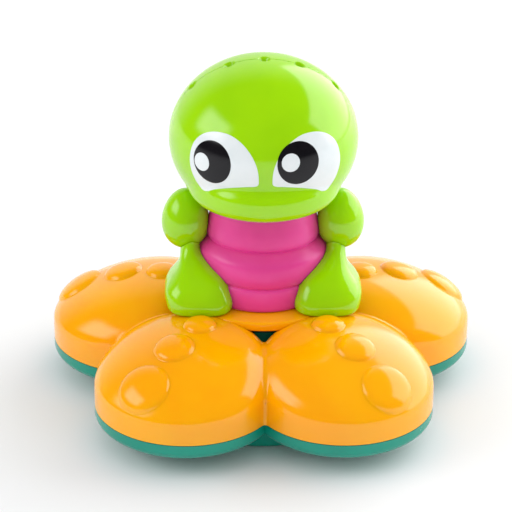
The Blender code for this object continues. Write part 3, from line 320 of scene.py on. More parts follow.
def smooth_run(keys: Sequence[Sequence[float]], steps: int, closed: bool = False) -> np.ndarray:
    """Smooth curve through rows of numbers.

    Args:
        keys: rows that the curve passes through.
        steps: points for each stretch between two rows.
        closed: true for a loop.

    Returns:
        Rows along the curve.
    """
    rows = np.array(keys, float)
    if closed:
        padded = np.vstack([rows[-1:], rows, rows[:2]])
    else:
        padded = np.vstack([2 * rows[:1] - rows[1:2], rows, 2 * rows[-1:] - rows[-2:-1]])
    made = []
    for index in range(len(padded) - 3):
        a, b, c, d = padded[index : index + 4]
        for step in range(steps):
            t = step / steps
            made.append(
                0.5
                * (
                    2 * b
                    + (c - a) * t
                    + (2 * a - 5 * b + 4 * c - d) * t**2
                    + (3 * b - a - 3 * c + d) * t**3
                )
            )
    if not closed:
        made.append(rows[-1])
    return np.array(made)


def loft(name: str, sections: np.ndarray, sides: int = 96) -> Piece:
    """Closed form through oval sections, drawn up ring by ring.

    Args:
        name: name of the piece.
        sections: rows of height, x, y, half width and half depth.
        sides: points round each ring.

    Returns:
        The new piece.
    """
    height, x, y, half_x, half_y = sections[0]
    made = start(
        name,
        Stock.DISC,
        scale=(half_x, half_y, 1.0),
        vertices=sides,
        radius=1.0,
        fill_type="NGON",
        location=(x, y, height),
    )
    with editing(made):
        bpy.ops.mesh.select_all(action="SELECT")
        for last, here in zip(sections[:-1], sections[1:]):
            shift = (here[1] - last[1], here[2] - last[2], here[0] - last[0])
            bpy.ops.mesh.extrude_region_move(TRANSFORM_OT_translate={"value": shift})
            bpy.ops.transform.resize(
                value=(here[3] / last[3], here[4] / last[4], 1.0),
                center_override=(here[1], here[2], here[0]),
            )
    tidy_mesh(made, MERGE / 10.0)
    return made


def lathe(name: str, profile: Sequence[Sequence[float]], sides: int = 96) -> Piece:
    """Closed turned form from rows of radius and height."""
    rows = np.array(profile, float)
    zero = np.zeros(len(rows))
    return loft(name, np.column_stack([rows[:, 1], zero, zero, rows[:, 0], rows[:, 0]]), sides)


def oval(name: str, centre: Point, half: Point, segments: int = 64, rings: int = 48) -> Piece:
    """Ball stretched to three half sizes, for use as a tool or as a start."""
    return start(
        name,
        Stock.BALL,
        scale=half,
        segments=segments,
        ring_count=rings,
        radius=1.0,
        location=centre,
    )


# Finishes


def linear(code: str) -> tuple[float, float, float, float]:
    """Turn an sRGB hex colour such as #FFAD00 into linear light."""
    parts = [int(code[first : first + 2], 16) / 255.0 for first in (1, 3, 5)]
    bent = [p / 12.92 if p <= 0.04045 else ((p + 0.055) / 1.055) ** 2.4 for p in parts]
    return (bent[0], bent[1], bent[2], 1.0)


def add_node(
    tree: bpy.types.NodeTree,
    kind: str,
    settings: dict[int | str, object] | None = None,
    links: dict[int | str, bpy.types.NodeSocket] | None = None,
) -> bpy.types.Node:
    """Add a shader node with its settings and links.

    Args:
        tree: tree that gets the node.
        kind: type of node, without its prefix.
        settings: properties of the node, or default values of its inputs.
        links: output sockets that feed its inputs.

    Returns:
        The new node.
    """
    node = tree.nodes.new("ShaderNode" + kind)
    for key, value in (settings or {}).items():
        if isinstance(key, int) or key in node.inputs:
            node.inputs[key].default_value = value
        else:
            setattr(node, key, value)
    for key, socket in (links or {}).items():
        tree.links.new(socket, node.inputs[key])
    return node


@dataclass(frozen=True)
class Finish:
    """A surface: its colour, its gloss and the fine pattern in both.

    Attributes:
        name: real material and how its surface was made.
        colour: main colour.
        cloud: colour that the main one drifts to.
        roughness: roughness of the smooth parts.
        haze: how much roughness the pattern adds.
        cloud_mm: size of the colour drift.
        grain_mm: spacing of the surface grain.
        grain_height_mm: height of the surface grain.
        metallic: 1 for bare metal.
        ior: index of refraction.
        gloss: specular level.
        glow: share of light that goes into the wall and comes out again.
        glow_mm: how far that light travels.
    """

    name: str
    colour: str
    cloud: str
    roughness: float
    haze: float = 0.05
    cloud_mm: float = 18.0
    grain_mm: float = 1.5
    grain_height_mm: float = 0.01
    metallic: float = 0.0
    ior: float = 1.5
    gloss: float = 0.5
    glow: float = 0.0
    glow_mm: float = 2.0

    def colours(self, tree: bpy.types.NodeTree, place: bpy.types.NodeSocket) -> bpy.types.NodeSocket:
        """Colour of the surface: the main colour with slow, faint clouds of the second."""
        clouds = add_node(
            tree, "TexNoise", {"Scale": 1.0 / (self.cloud_mm * MM), "Detail": 3.0}, {"Vector": place}
        )
        ramp = add_node(
            tree,
            "MapRange",
            {"From Min": 0.35, "From Max": 0.70, "interpolation_type": "SMOOTHSTEP"},
            {"Value": clouds.outputs["Fac"]},
        )
        mix = add_node(
            tree,
            "MixRGB",
            {"Color1": linear(self.colour), "Color2": linear(self.cloud)},
            {"Fac": ramp.outputs["Result"]},
        )
        return mix.outputs["Color"]

    def relief(self, tree: bpy.types.NodeTree, place: bpy.types.NodeSocket) -> bpy.types.NodeSocket:
        """Height of the surface grain, from 0 to 1."""
        grain = add_node(
            tree, "TexNoise", {"Scale": 1.0 / (self.grain_mm * MM), "Detail": 2.0}, {"Vector": place}
        )
        return grain.outputs["Fac"]

    def material(self) -> bpy.types.Material:
        """Build the material once and give it back on later calls."""
        if self.name in bpy.data.materials:
            return bpy.data.materials[self.name]
        made = bpy.data.materials.new(self.name)
        made.use_nodes = True
        tree = made.node_tree
        shader = tree.nodes["Principled BSDF"]
        place = add_node(tree, "TexCoord").outputs["Object"]
        tree.links.new(self.colours(tree, place), shader.inputs["Base Color"])
        relief = self.relief(tree, place)
        smears = add_node(
            tree,
            "TexNoise",
            {"Scale": 0.4 / (self.cloud_mm * MM), "Detail": 6.0, "Roughness": 0.65},
            {"Vector": place},
        )
        worn = add_node(
            tree,
            "MapRange",
            {
                "From Min": 0.45,
                "From Max": 0.75,
                "To Min": self.roughness,
                "To Max": self.roughness + self.haze,
            },
            {"Value": smears.outputs["Fac"]},
        )
        tree.links.new(worn.outputs["Result"], shader.inputs["Roughness"])
        bump = add_node(
            tree,
            "Bump",
            {"Strength": 1.0, "Distance": self.grain_height_mm * MM},
            {"Height": relief},
        )
        tree.links.new(bump.outputs["Normal"], shader.inputs["Normal"])
        shader.inputs["Metallic"].default_value = self.metallic
        shader.inputs["IOR"].default_value = self.ior
        shader.inputs["Specular IOR Level"].default_value = self.gloss
        if self.glow > 0.0:
            shader.inputs["Subsurface Weight"].default_value = self.glow
            shader.inputs["Subsurface Scale"].default_value = self.glow_mm * MM
            shader.inputs["Subsurface Radius"].default_value = linear(self.colour)[:3]
        return made


@dataclass(frozen=True)
class Weave(Finish):
    """Laminate with a woven glass core: crossed waves under the solder mask."""

    thread_mm: float = 0.6

    def relief(self, tree: bpy.types.NodeTree, place: bpy.types.NodeSocket) -> bpy.types.NodeSocket:
        """Height of the crossed threads, from 0 to 1."""
        scale = 1.0 / (self.thread_mm * MM) / 20.0
        across, along = [
            add_node(
                tree, "TexWave", {"Scale": scale, "bands_direction": way}, {"Vector": place}
            ).outputs["Fac"]
            for way in ("X", "Y")
        ]
        return add_node(tree, "Math", {"operation": "MAXIMUM"}, {0: across, 1: along}).outputs[0]


@dataclass(frozen=True)
class Banded(Finish):
    """Printed sleeve with a wide band of another colour at one end, cut across the X axis."""

    band: str = "#B97A3C"
    band_from: float = 0.008
    band_side: float = 1.0

    def colours(self, tree: bpy.types.NodeTree, place: bpy.types.NodeSocket) -> bpy.types.NodeSocket:
        """Sleeve colour with its band."""
        ground = super().colours(tree, place)
        split = add_node(tree, "SeparateXYZ", None, {"Vector": place})
        side = {"operation": "MULTIPLY", 1: self.band_side}
        signed = add_node(tree, "Math", side, {0: split.outputs["X"]})
        limit = {"operation": "GREATER_THAN", 1: self.band_from}
        edge = add_node(tree, "Math", limit, {0: signed.outputs[0]})
        links = {"Fac": edge.outputs[0], "Color1": ground}
        mix = add_node(tree, "MixRGB", {"Color2": linear(self.band)}, links)
        return mix.outputs["Color"]


# ABS moulded against a polished tool: even, saturated, mirror-like with the faintest ripple
ORANGE = Finish(
    "orange_ABS_polished_moulding", "#FFAE00", "#FFA600", 0.10, 0.05, 30.0, 3.0, 0.004, gloss=0.6,
    glow=0.12,
)
GREEN = Finish(
    "green_ABS_polished_moulding", "#A0DC00", "#99D600", 0.09, 0.05, 26.0, 3.0, 0.004, gloss=0.7,
    glow=0.12,
)
# The same plastic from a tool with a fine spark finish: soft, wide highlights
PINK = Finish(
    "pink_ABS_satin_moulding", "#EA439D", "#E23A93", 0.30, 0.06, 20.0, 0.5, 0.006, gloss=0.5,
    glow=0.10,
)
TEAL = Finish(
    "teal_ABS_satin_moulding", "#00957F", "#008C78", 0.22, 0.08, 24.0, 0.8, 0.008, gloss=0.5
)
# Two-part pad ink: smooth, with a trace of the pad's texture
WHITE_INK = Finish(
    "white_pad_printed_ink", "#E6ECEE", "#E0E8EA", 0.14, 0.06, 8.0, 0.4, 0.003, gloss=0.6
)
BLACK_INK = Finish(
    "black_pad_printed_ink", "#141216", "#0E0D12", 0.12, 0.06, 8.0, 0.4, 0.003, gloss=0.35
)
# Uncoloured acetal: milky, waxy
NATURAL = Finish(
    "natural_acetal_moulding", "#E9E7DD", "#DEDCD0", 0.32, 0.10, 9.0, 0.6, 0.010, glow=0.35
)
CHARCOAL = Finish(
    "charcoal_nylon_moulding", "#2B2B2E", "#232326", 0.45, 0.15, 6.0, 0.35, 0.020
)
# Nitrile seals: dull, with a dusty bloom
RUBBER = Finish(
    "black_nitrile_moulding", "#1C1C1D", "#2A2A2B", 0.62, 0.20, 3.0, 0.30, 0.030, gloss=0.35
)
# Zinc-plated steel: bright grey with a fine drawn grain and yellowish clouds
STEEL = Finish(
    "zinc_plated_steel", "#C9C9C6", "#B9B6AC", 0.24, 0.18, 2.5, 0.25, 0.010, metallic=1.0
)
LAMINATE = Weave(
    "glass_laminate_solder_mask", "#0F6B35", "#0B5A2B", 0.30, 0.10, 2.0, grain_height_mm=0.020
)
SLEEVES = {
    Side.RIGHT: Banded("cell_shrink_sleeve_a", "#2E3640", "#262D36", 0.22, 0.08, 6.0),
    Side.LEFT: Banded("cell_shrink_sleeve_b", "#2E3640", "#262D36", 0.22, 0.08, 6.0, band_side=-1.0),
}


def dress(
    piece: Piece,
    finish: Finish,
    stands_for: Sequence[str],
    body: str = "root",
    angle: float = 35.0,
) -> Piece:
    """Shade a piece, give it its finish and its body, and report it.

    Args:
        piece: finished piece, its place in its mesh.
        finish: finish that it gets.
        stands_for: CAD nodes that it replaces.
        body: body that it rides on.
        angle: edges sharper than this many degrees stay crisp.

    Returns:
        The same piece.
    """
    soften(piece, angle)
    piece.data.materials.clear()
    piece.data.materials.append(finish.material())
    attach(piece, body)
    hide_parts(*stands_for)
    log.info("%s: %d faces, %s", piece.name, len(piece.data.polygons), finish.name)
    return piece


def repaint(finish: Finish, *nodes: str) -> None:
    """Give CAD nodes that stay a better finish."""
    for node in nodes:
        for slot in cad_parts[node].material_slots:
            slot.material = finish.material()
        log.info("%s: kept, %s", node, finish.name)


# The toy


@dataclass(frozen=True)
class LobedForm:
    """Five equal lobes round the hub, each one half of a sheared ball over a rim.

    Attributes:
        inset: how far the form lies inside the rim's outline.
        rise: height of a crest over the rim, negative for a form that hangs down.
        shift: how far a crest leans towards the hub.
        rim_z: height of the rim.
        centre: distance of a lobe's middle from the hub.
        radius: half width of a lobe.
        reach: length of a lobe towards the hub.
        count: number of lobes.
        fillet_steps: where rows of points lie beside a crease, as shares of its rounding.
    """

    inset: float
    rise: float
    shift: float
    rim_z: float
    centre: float = 0.0547
    radius: float = 0.0379
    reach: float = 0.0600
    count: int = 5
    fillet_steps: tuple[float, ...] = (0.0, 0.15, 0.3, 0.5, 0.72, 1.0)

    def mapped(self, unit: np.ndarray) -> np.ndarray:
        """Carry points of the unit half ball onto the first lobe, which points along +Y."""
        outer = self.radius - self.inset
        across = self.centre + unit[:, 0] * np.where(unit[:, 0] > 0.0, outer, self.reach)
        level = unit[:, 2]
        return np.column_stack(
            [-unit[:, 1] * outer, across - self.shift * level, self.rim_z + self.rise * level]
        )

    def side_of(self, point: np.ndarray) -> float:
        """Tell how far out a point lies: negative inside the first lobe, positive outside."""
        level = (point[2] - self.rim_z) / self.rise
        across = point[1] + self.shift * level - self.centre
        along = point[0] / (self.radius - self.inset)
        run = across / (self.radius - self.inset if across > 0.0 else self.reach)
        return run * run + along * along + level * level - 1.0

    def settled(self, point: np.ndarray, way: np.ndarray, reach: float) -> np.ndarray:
        """Slide a point along a way until it lies on the first lobe's skin."""
        low, high = -reach, reach
        for _ in range(40):
            middle = (low + high) / 2.0
            if self.side_of(point + way * middle) > 0.0:
                high = middle
            else:
                low = middle
        return point + way * high

    def ridge(self, degrees: float) -> tuple[np.ndarray, np.ndarray]:
        """Point and normal on the first lobe's middle line, at an angle up its arc."""
        angle = math.radians(degrees)
        point = np.array(
            [
                0.0,
                self.centre + self.radius * math.cos(angle) - self.shift * math.sin(angle),
                self.rim_z + self.rise * math.sin(angle),
            ]
        )
        run = -self.radius * math.sin(angle) - self.shift * math.cos(angle)
        normal = np.array([0.0, self.rise * math.cos(angle), -run])
        return point, normal / np.linalg.norm(normal)

    def normals(self, rows: np.ndarray) -> np.ndarray:
        """Outward normals of the first lobe, or of the band under its rim, at points on it."""
        level = np.clip((rows[:, 2] - self.rim_z) / self.rise, 0.0, 1.0)
        across = rows[:, 1] + self.shift * level - self.centre
        outer = self.radius - self.inset
        run = across / np.where(across > 0.0, outer, self.reach) ** 2
        climb = np.where(level > 0.0, run * self.shift + level, 0.0) / self.rise
        made = np.column_stack([rows[:, 0] / outer**2, run, climb])
        return made / np.linalg.norm(made, axis=1)[:, None]

    def filled(self, rows: np.ndarray, width: float) -> np.ndarray:
        """Lift points near the creases beside the first lobe, which rounds the creases.

        Args:
            rows: points on the lobe.
            width: distance from a crease at which the rounding starts.

        Returns:
            The points, those near a crease lifted along it.
        """
        half = math.pi / self.count
        normals = self.normals(rows)
        made = rows.copy()
        for side in Side:
            beside = np.array([side.value * math.cos(half), -math.sin(half), 0.0])
            lean = normals @ beside
            up = normals - lean[:, None] * beside
            size = np.linalg.norm(up, axis=1)
            near = np.clip(1.0 + (rows @ beside) / width, 0.0, 1.0)
            lift = np.clip(lean / size, 0.0, 3.0) * width / 2.0 * near**2
            made += up / size[:, None] * lift[:, None]
        return made

    def volume(
        self,
        name: str,
        tail: float = 0.0,
        segments: int = 96,
        rings: int = 64,
        steps: int = 1,
        fillet: float = 0.0,
    ) -> Piece:
        """Closed form of the five lobes.

        Args:
            name: name of the piece.
            tail: depth of the straight band that closes it beyond the rim.
            segments: points round a lobe.
            rings: rings of the whole ball that a lobe starts from.
            steps: rows of faces in the band.
            fillet: distance from a crease at which its rounding starts, zero for none.

        Returns:
            The new piece.
        """
        made = start(name, Stock.BALL, segments=segments, ring_count=rings, radius=1.0)
        with editing(made):
            bpy.ops.mesh.select_all(action="SELECT")
            bpy.ops.mesh.bisect(
                plane_co=(0.0, 0.0, 0.0), plane_no=(0.0, 0.0, 1.0), clear_inner=True
            )
        move_points(made, self.mapped(places(made)))
        with editing(made):
            pick(made, "EDGE", lambda place, normal: abs(place.z - self.rim_z) < MERGE)
            drop = {"value": (0.0, 0.0, -tail / steps)}
            for _ in range(steps if tail != 0.0 else 0):
                bpy.ops.mesh.extrude_edges_move(TRANSFORM_OT_translate=drop)
            bpy.ops.mesh.edge_face_add()
            half = math.pi / self.count
            for side in Side:
                beside = Vector((side.value * math.cos(half), -math.sin(half), 0.0))
                for share in self.fillet_steps if fillet > 0.0 else (0.0,):
                    bpy.ops.mesh.select_all(action="SELECT")
                    bpy.ops.mesh.bisect(
                        plane_co=-beside * fillet * share, plane_no=beside, clear_outer=share == 0.0
                    )
        if fillet > 0.0:
            move_points(made, self.filled(places(made), fillet))
        made = gather(name, round_hub(made, self.count))
        tidy_mesh(made)
        return made


@dataclass
class StarFloat:
    """Orange upper shell of the float, with three raised spots on each lobe."""

    skin: LobedForm = LobedForm(0.0, 0.0213, 0.0125, 0.0256, reach=0.0300)
    band: float = 0.0096
    band_rows: int = 8
    wall: float = 0.0020
    sill: float = 0.0400
    sill_z: float = 0.0330
    sill_hollow: float = 0.0440
    opening: float = 0.0295
    recess: float = 0.0343
    ledge_z: float = 0.0417
    ledge_wall: float = 0.0025
    skirt_wall: float = 0.0022
    skirt_z: float = 0.0188
    valley: float = 0.0016
    shoulder: float = 0.0032
    spots: tuple[tuple[float, float], ...] = ((25.0, 0.01075), (60.0, 0.00825), (86.0, 0.00675))
    # Distance from a spot's middle and height there, as shares of its radius and crown
    crown: tuple[tuple[float, float], ...] = (
        (1.10, -0.30), (1.07, -0.03), (1.04, 0.01), (1.02, 0.06), (1.00, 0.15), (0.98, 0.26),
        (0.95, 0.38), (0.90, 0.52), (0.81, 0.67), (0.67, 0.81), (0.49, 0.91), (0.30, 0.97),
        (0.12, 1.00),
    )
    crown_height: float = 0.0025

    def spot(self, climb: float, radius: float) -> Piece:
        """One raised spot on the first lobe, its skirt sunk into the skin.

        Args:
            climb: angle up the lobe's arc in degrees.
            radius: radius of the spot.

        Returns:
            The new piece.
        """
        point, normal = self.skin.ridge(climb)
        beside = np.array([1.0, 0.0, 0.0])
        up = np.cross(normal, beside)
        rows = np.array([[height, 0.0, 0.0, share, share] for share, height in self.crown])
        made = loft("spot", rows, 56)
        flat = places(made)
        laid = []
        for x, y, height in flat:
            foot = point + beside * x * radius + up * y * radius
            on_skin = self.skin.settled(foot, normal, radius)
            laid.append(on_skin + normal * height * self.crown_height)
        move_points(made, np.array(laid))
        tidy_mesh(made)
        return made

    def shell(self) -> Piece:
        """The lobed shell with its walls, sill, ledge and skirt."""
        skin = self.skin
        rim_z = skin.rim_z - self.band
        made = skin.volume("star_float", self.band, 160, 96, self.band_rows, self.valley)
        with editing(made):
            pick(made, "VERT", lambda place, normal: abs(place.z - skin.rim_z) < self.shoulder)
            bpy.ops.mesh.vertices_smooth(factor=0.5, repeat=6)
        carve(made, rod("sill", self.sill, rim_z, self.sill_z, sides=96), how=Cut.WITH)
        inner = LobedForm(
            self.wall, skin.rise - self.wall, skin.shift, skin.rim_z, reach=skin.reach - self.wall
        )
        hollow = inner.volume("hollow", self.band + self.wall, 64, 40)
        under = (rim_z - self.wall, self.sill_z - self.wall)
        carve(hollow, rod("under_sill", self.sill_hollow, *under, sides=96), how=Cut.WITH)
        skirt = rod("skirt", self.opening + self.skirt_wall, self.skirt_z, FAR, sides=96)
        ledge = rod("ledge", self.recess + self.ledge_wall, self.ledge_z - self.ledge_wall, FAR, sides=96)
        carve(hollow, skirt, ledge)
        opening = rod("opening", self.opening, -FAR, FAR, sides=96)
        recess = rod("recess", self.recess, self.ledge_z, FAR, sides=128)
        return carve(made, hollow, opening, recess)

    def build(self) -> None:
        """Make the float's upper shell and dress it."""
        pieces = [self.shell()]
        for climb, radius in self.spots:
            pieces += round_hub(self.spot(climb, radius), self.skin.count)
        made = gather("star_float", pieces)
        dress(made, ORANGE, ["star_shell"], angle=50.0)


@dataclass
class Deck:
    """Orange disc that the turtle sits on, over three posts."""

    edge: float = 0.0012
    post_radius: float = 0.0030
    posts: tuple[tuple[float, float], ...] = ((-0.0200, 0.0080), (0.0200, 0.0080), (0.0, 0.0235))
    thickness: float = 0.0040

    def build(self) -> None:
        """Make the deck and dress it."""
        low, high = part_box("deck")
        made = rod(
            "deck_disc", high.x, high.z - self.thickness, high.z, sides=128, rounding=self.edge
        )
        middle = high.z - self.thickness / 2.0
        posts = [rod("post", self.post_radius, low.z, middle, at, 32) for at in self.posts]
        carve(made, *posts, how=Cut.WITH)
        dress(made, ORANGE, ["deck"])


@dataclass
class Hull:
    """Teal lower shell of the float with its openings and recesses underneath."""

    # Heights and depths of the shell
    depth: float = 0.0107
    band: float = 0.0030
    top_z: float = 0.0157
    wall: float = 0.0025
    pan: float = 0.0570
    pan_rounding: float = 0.0025
    screw_ring: float = 0.0600
    screw_hole: float = 0.0027
    screw_seat_z: float = 0.0060
    drains: tuple[tuple[float, float], ...] = ((-0.0220, -0.0070), (0.0220, -0.0070))
    drain_hole: float = 0.0035
    # Cell bay over the door's gasket, and the recess that the door lies in
    gasket_room: float = 4.0 * GAP
    bay_inset: float = 5.0 * GAP
    bay_height: float = 0.0200
    recess_half_x: float = 0.0288
    recess_rounding: float = 0.0006
    ear: float = 0.0039
    ear_z: float = 0.0040
    # Round openings for the grille and the button, and how high they go
    grille_hole: float = 0.0070
    button_hole: float = 0.0063
    hole_z: float = 0.0030

    def build(self) -> None:
        """Make the hull and dress it."""
        rim_z = self.top_z - self.band
        outer = LobedForm(0.0, -self.depth, 0.0, rim_z)
        made = outer.volume("hull", -self.band, 96, 64)
        pan = rod("pan", self.pan, 0.0, self.top_z - GAP, sides=128, rounding=self.pan_rounding)
        carve(made, pan, how=Cut.WITH)
        inner = LobedForm(self.wall, self.wall - self.depth, 0.0, rim_z)
        hollow = inner.volume("hollow", -self.band - self.wall, 64, 40)
        door_low, door_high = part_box("battery_door")
        gasket_low, gasket_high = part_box("door_gasket")
        grille_low, grille_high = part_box("intake_grille")
        keep = block(
            "keep",
            (door_low.x - self.wall, door_low.y - self.wall, -FAR),
            (door_high.x + self.wall, door_high.y + self.wall, gasket_high.z + self.gasket_room),
        )
        carve(hollow, keep)
        carve(made, hollow)
        bay = block(
            "bay",
            (gasket_low.x + self.bay_inset, gasket_low.y + self.bay_inset, -FAR),
            (
                gasket_high.x - self.bay_inset,
                gasket_high.y - self.bay_inset,
                gasket_high.z + self.bay_height,
            ),
        )
        recess = block(
            "recess",
            (-self.recess_half_x, door_low.y - GAP, -FAR),
            (self.recess_half_x, door_high.y + GAP, gasket_high.z + GAP),
            self.recess_rounding,
        )
        ear_x = door_high.x - self.ear + GAP
        ear_y = (door_low.y + door_high.y) / 2.0
        ears = [rod("ear", self.ear, -FAR, self.ear_z, (side * ear_x, ear_y), 40) for side in PAIR]
        grille_at = (0.0, (grille_low.y + grille_high.y) / 2.0)
        grille_radius = (grille_high.x - grille_low.x) / 2.0 + GAP
        button_low, button_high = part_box("power_button")
        button_at = ((button_low.x + button_high.x) / 2.0, (button_low.y + button_high.y) / 2.0)
        tools = [
            bay,
            recess,
            *ears,
            rod("grille_seat", grille_radius, -FAR, grille_high.z + GAP, grille_at),
            rod("grille_hole", self.grille_hole, -FAR, self.hole_z, grille_at),
            rod("button_hole", self.button_hole, -FAR, self.hole_z, button_at),
        ]
        for index in range(outer.count):
            angle = math.radians(90.0 + 360.0 * index / outer.count)
            at = (self.screw_ring * math.cos(angle), self.screw_ring * math.sin(angle))
            tools.append(rod("screw_hole", self.screw_hole, -FAR, self.screw_seat_z, at, 32))
        tools += [rod("drain", self.drain_hole, -FAR, self.top_z, at, 32) for at in self.drains]
        carve(made, *tools)
        dress(made, TEAL, ["base_hull"], angle=40.0)


@dataclass
class Torso:
    """Pink body with its ribs, and the shell on the turtle's back."""

    # Radius and height of each turn, from the deck up
    ribs: tuple[tuple[float, float], ...] = (
        (0.0244, 0.0463), (0.0250, 0.0468), (0.0254, 0.0480), (0.0256, 0.0505), (0.0256, 0.0535),
        (0.0254, 0.0552), (0.0250, 0.0561), (0.0245, 0.0566), (0.0250, 0.0571), (0.0256, 0.0580),
        (0.0263, 0.0602), (0.0270, 0.0630), (0.0275, 0.0655), (0.0275, 0.0671), (0.0269, 0.0684),
        (0.0257, 0.0697), (0.0243, 0.0708), (0.0234, 0.0713), (0.0229, 0.0716), (0.0233, 0.0720),
        (0.0236, 0.0728), (0.0237, 0.0746), (0.0233, 0.0775), (0.0224, 0.0812), (0.0215, 0.0852),
        (0.0209, 0.0890),
    )
    wall: float = 0.0020
    # Heights of the turns of the room inside, wide below and narrow above
    inside_z: tuple[float, ...] = (0.0400, 0.0600, 0.0690, 0.0785)
    # How far the form that trims other pieces goes on below and above
    room_reach: float = 0.004
    muzzle_half: Point = (0.0316, 0.0330, 0.0105)
    # How much the chest is flattened in front, and the heights between which that starts
    flat: float = 0.12
    flat_from: tuple[float, float] = (0.0590, 0.0720)
    shell_centre: Point = (0.0, 0.0130, 0.0640)
    shell_half: Point = (0.0250, 0.0190, 0.0230)
    groove: float = 0.0007
    groove_width: float = 0.0007
    plate: float = 0.42
    rim: float = 0.80

    def flattened(self, piece: Piece) -> Piece:
        """Press the chest flatter in front, more and more from the belly up."""
        rows = places(piece)
        low, high = self.flat_from
        share = np.clip((rows[:, 2] - low) / (high - low), 0.0, 1.0)
        share = share * share * (3.0 - 2.0 * share)
        rows[:, 1] *= np.where(rows[:, 1] < 0.0, 1.0 - self.flat * share, 1.0)
        move_points(piece, rows)
        return piece

    def room(self, name: str, extra: float) -> Piece:
        """Form of the body grown by a gap, which other pieces are trimmed with."""
        rows = smooth_run(self.ribs, 3)
        rows[:, 0] += extra
        below = [rows[0, 0], rows[0, 1] - self.room_reach]
        above = [rows[-1, 0], rows[-1, 1] + self.room_reach]
        return self.flattened(lathe(name, np.vstack([below, rows, above]), 128))

    def head_room(self, name: str) -> Piece:
        """Form of the head and its muzzle grown by a gap."""
        made = oval(name, HEAD_MIDDLE, tuple(h + GAP for h in HEAD_HALF), 96, 64)
        muzzle = oval(name, MUZZLE_MIDDLE, tuple(h + GAP for h in self.muzzle_half), 96, 64)
        return carve(made, muzzle, how=Cut.WITH)

    def shell_room(self, name: str) -> Piece:
        """Form of the back shell grown by a gap."""
        return oval(name, self.shell_centre, tuple(h + GAP for h in self.shell_half), 96, 64)

    def plates(self) -> Piece:
        """Back shell with shallow grooves between its plates."""
        made = oval("back_shell", (0.0, 0.0, 0.0), (1.0, 1.0, 1.0), 288, 160)
        unit = places(made)
        u, v = unit[:, 0], unit[:, 2]
        size = self.shell_half[0]
        radius = np.hypot(u, v)
        angle = np.arctan2(u, v)
        sector = math.pi / 3.0
        local = (angle + sector / 2.0) % sector - sector / 2.0
        hexagon = np.abs(radius * np.cos(local) - self.plate)
        spoke_angle = np.abs((angle % sector) - sector / 2.0)
        spoke = np.where(radius > self.plate, radius * np.sin(spoke_angle), 1.0)
        spoke = np.where(radius < self.rim, spoke, 1.0)
        ring = np.abs(radius - self.rim)
        near = np.minimum(np.minimum(hexagon, spoke), ring) * size
        depth = self.groove * np.exp(-((near / self.groove_width) ** 2))
        depth = np.where(unit[:, 1] > 0.0, depth, 0.0)
        rows = unit * np.array(self.shell_half) + np.array(self.shell_centre)
        normal = unit / np.array(self.shell_half)
        normal /= np.linalg.norm(normal, axis=1)[:, None]
        move_points(made, rows - normal * depth[:, None])
        return made

    def build(self) -> None:
        """Make the body and the back shell and dress them."""
        made = self.flattened(lathe("ribbed_body", smooth_run(self.ribs, 5), 192))
        wide, narrow = self.ribs[0][0] - self.wall, self.ribs[-1][0] - self.wall
        inside = list(zip((wide, wide, narrow, narrow), self.inside_z))
        carve(made, self.flattened(lathe("inside", inside, 64)), self.head_room("seat"))
        dress(made, PINK, ["body_shell"], angle=50.0)
        shell = self.plates()
        floor = rod("floor", FAR, -FAR, self.ribs[0][1], sides=32)
        carve(shell, self.room("room", GAP), self.head_room("room"), floor)
        dress(shell, PINK, ["carapace"], angle=50.0)


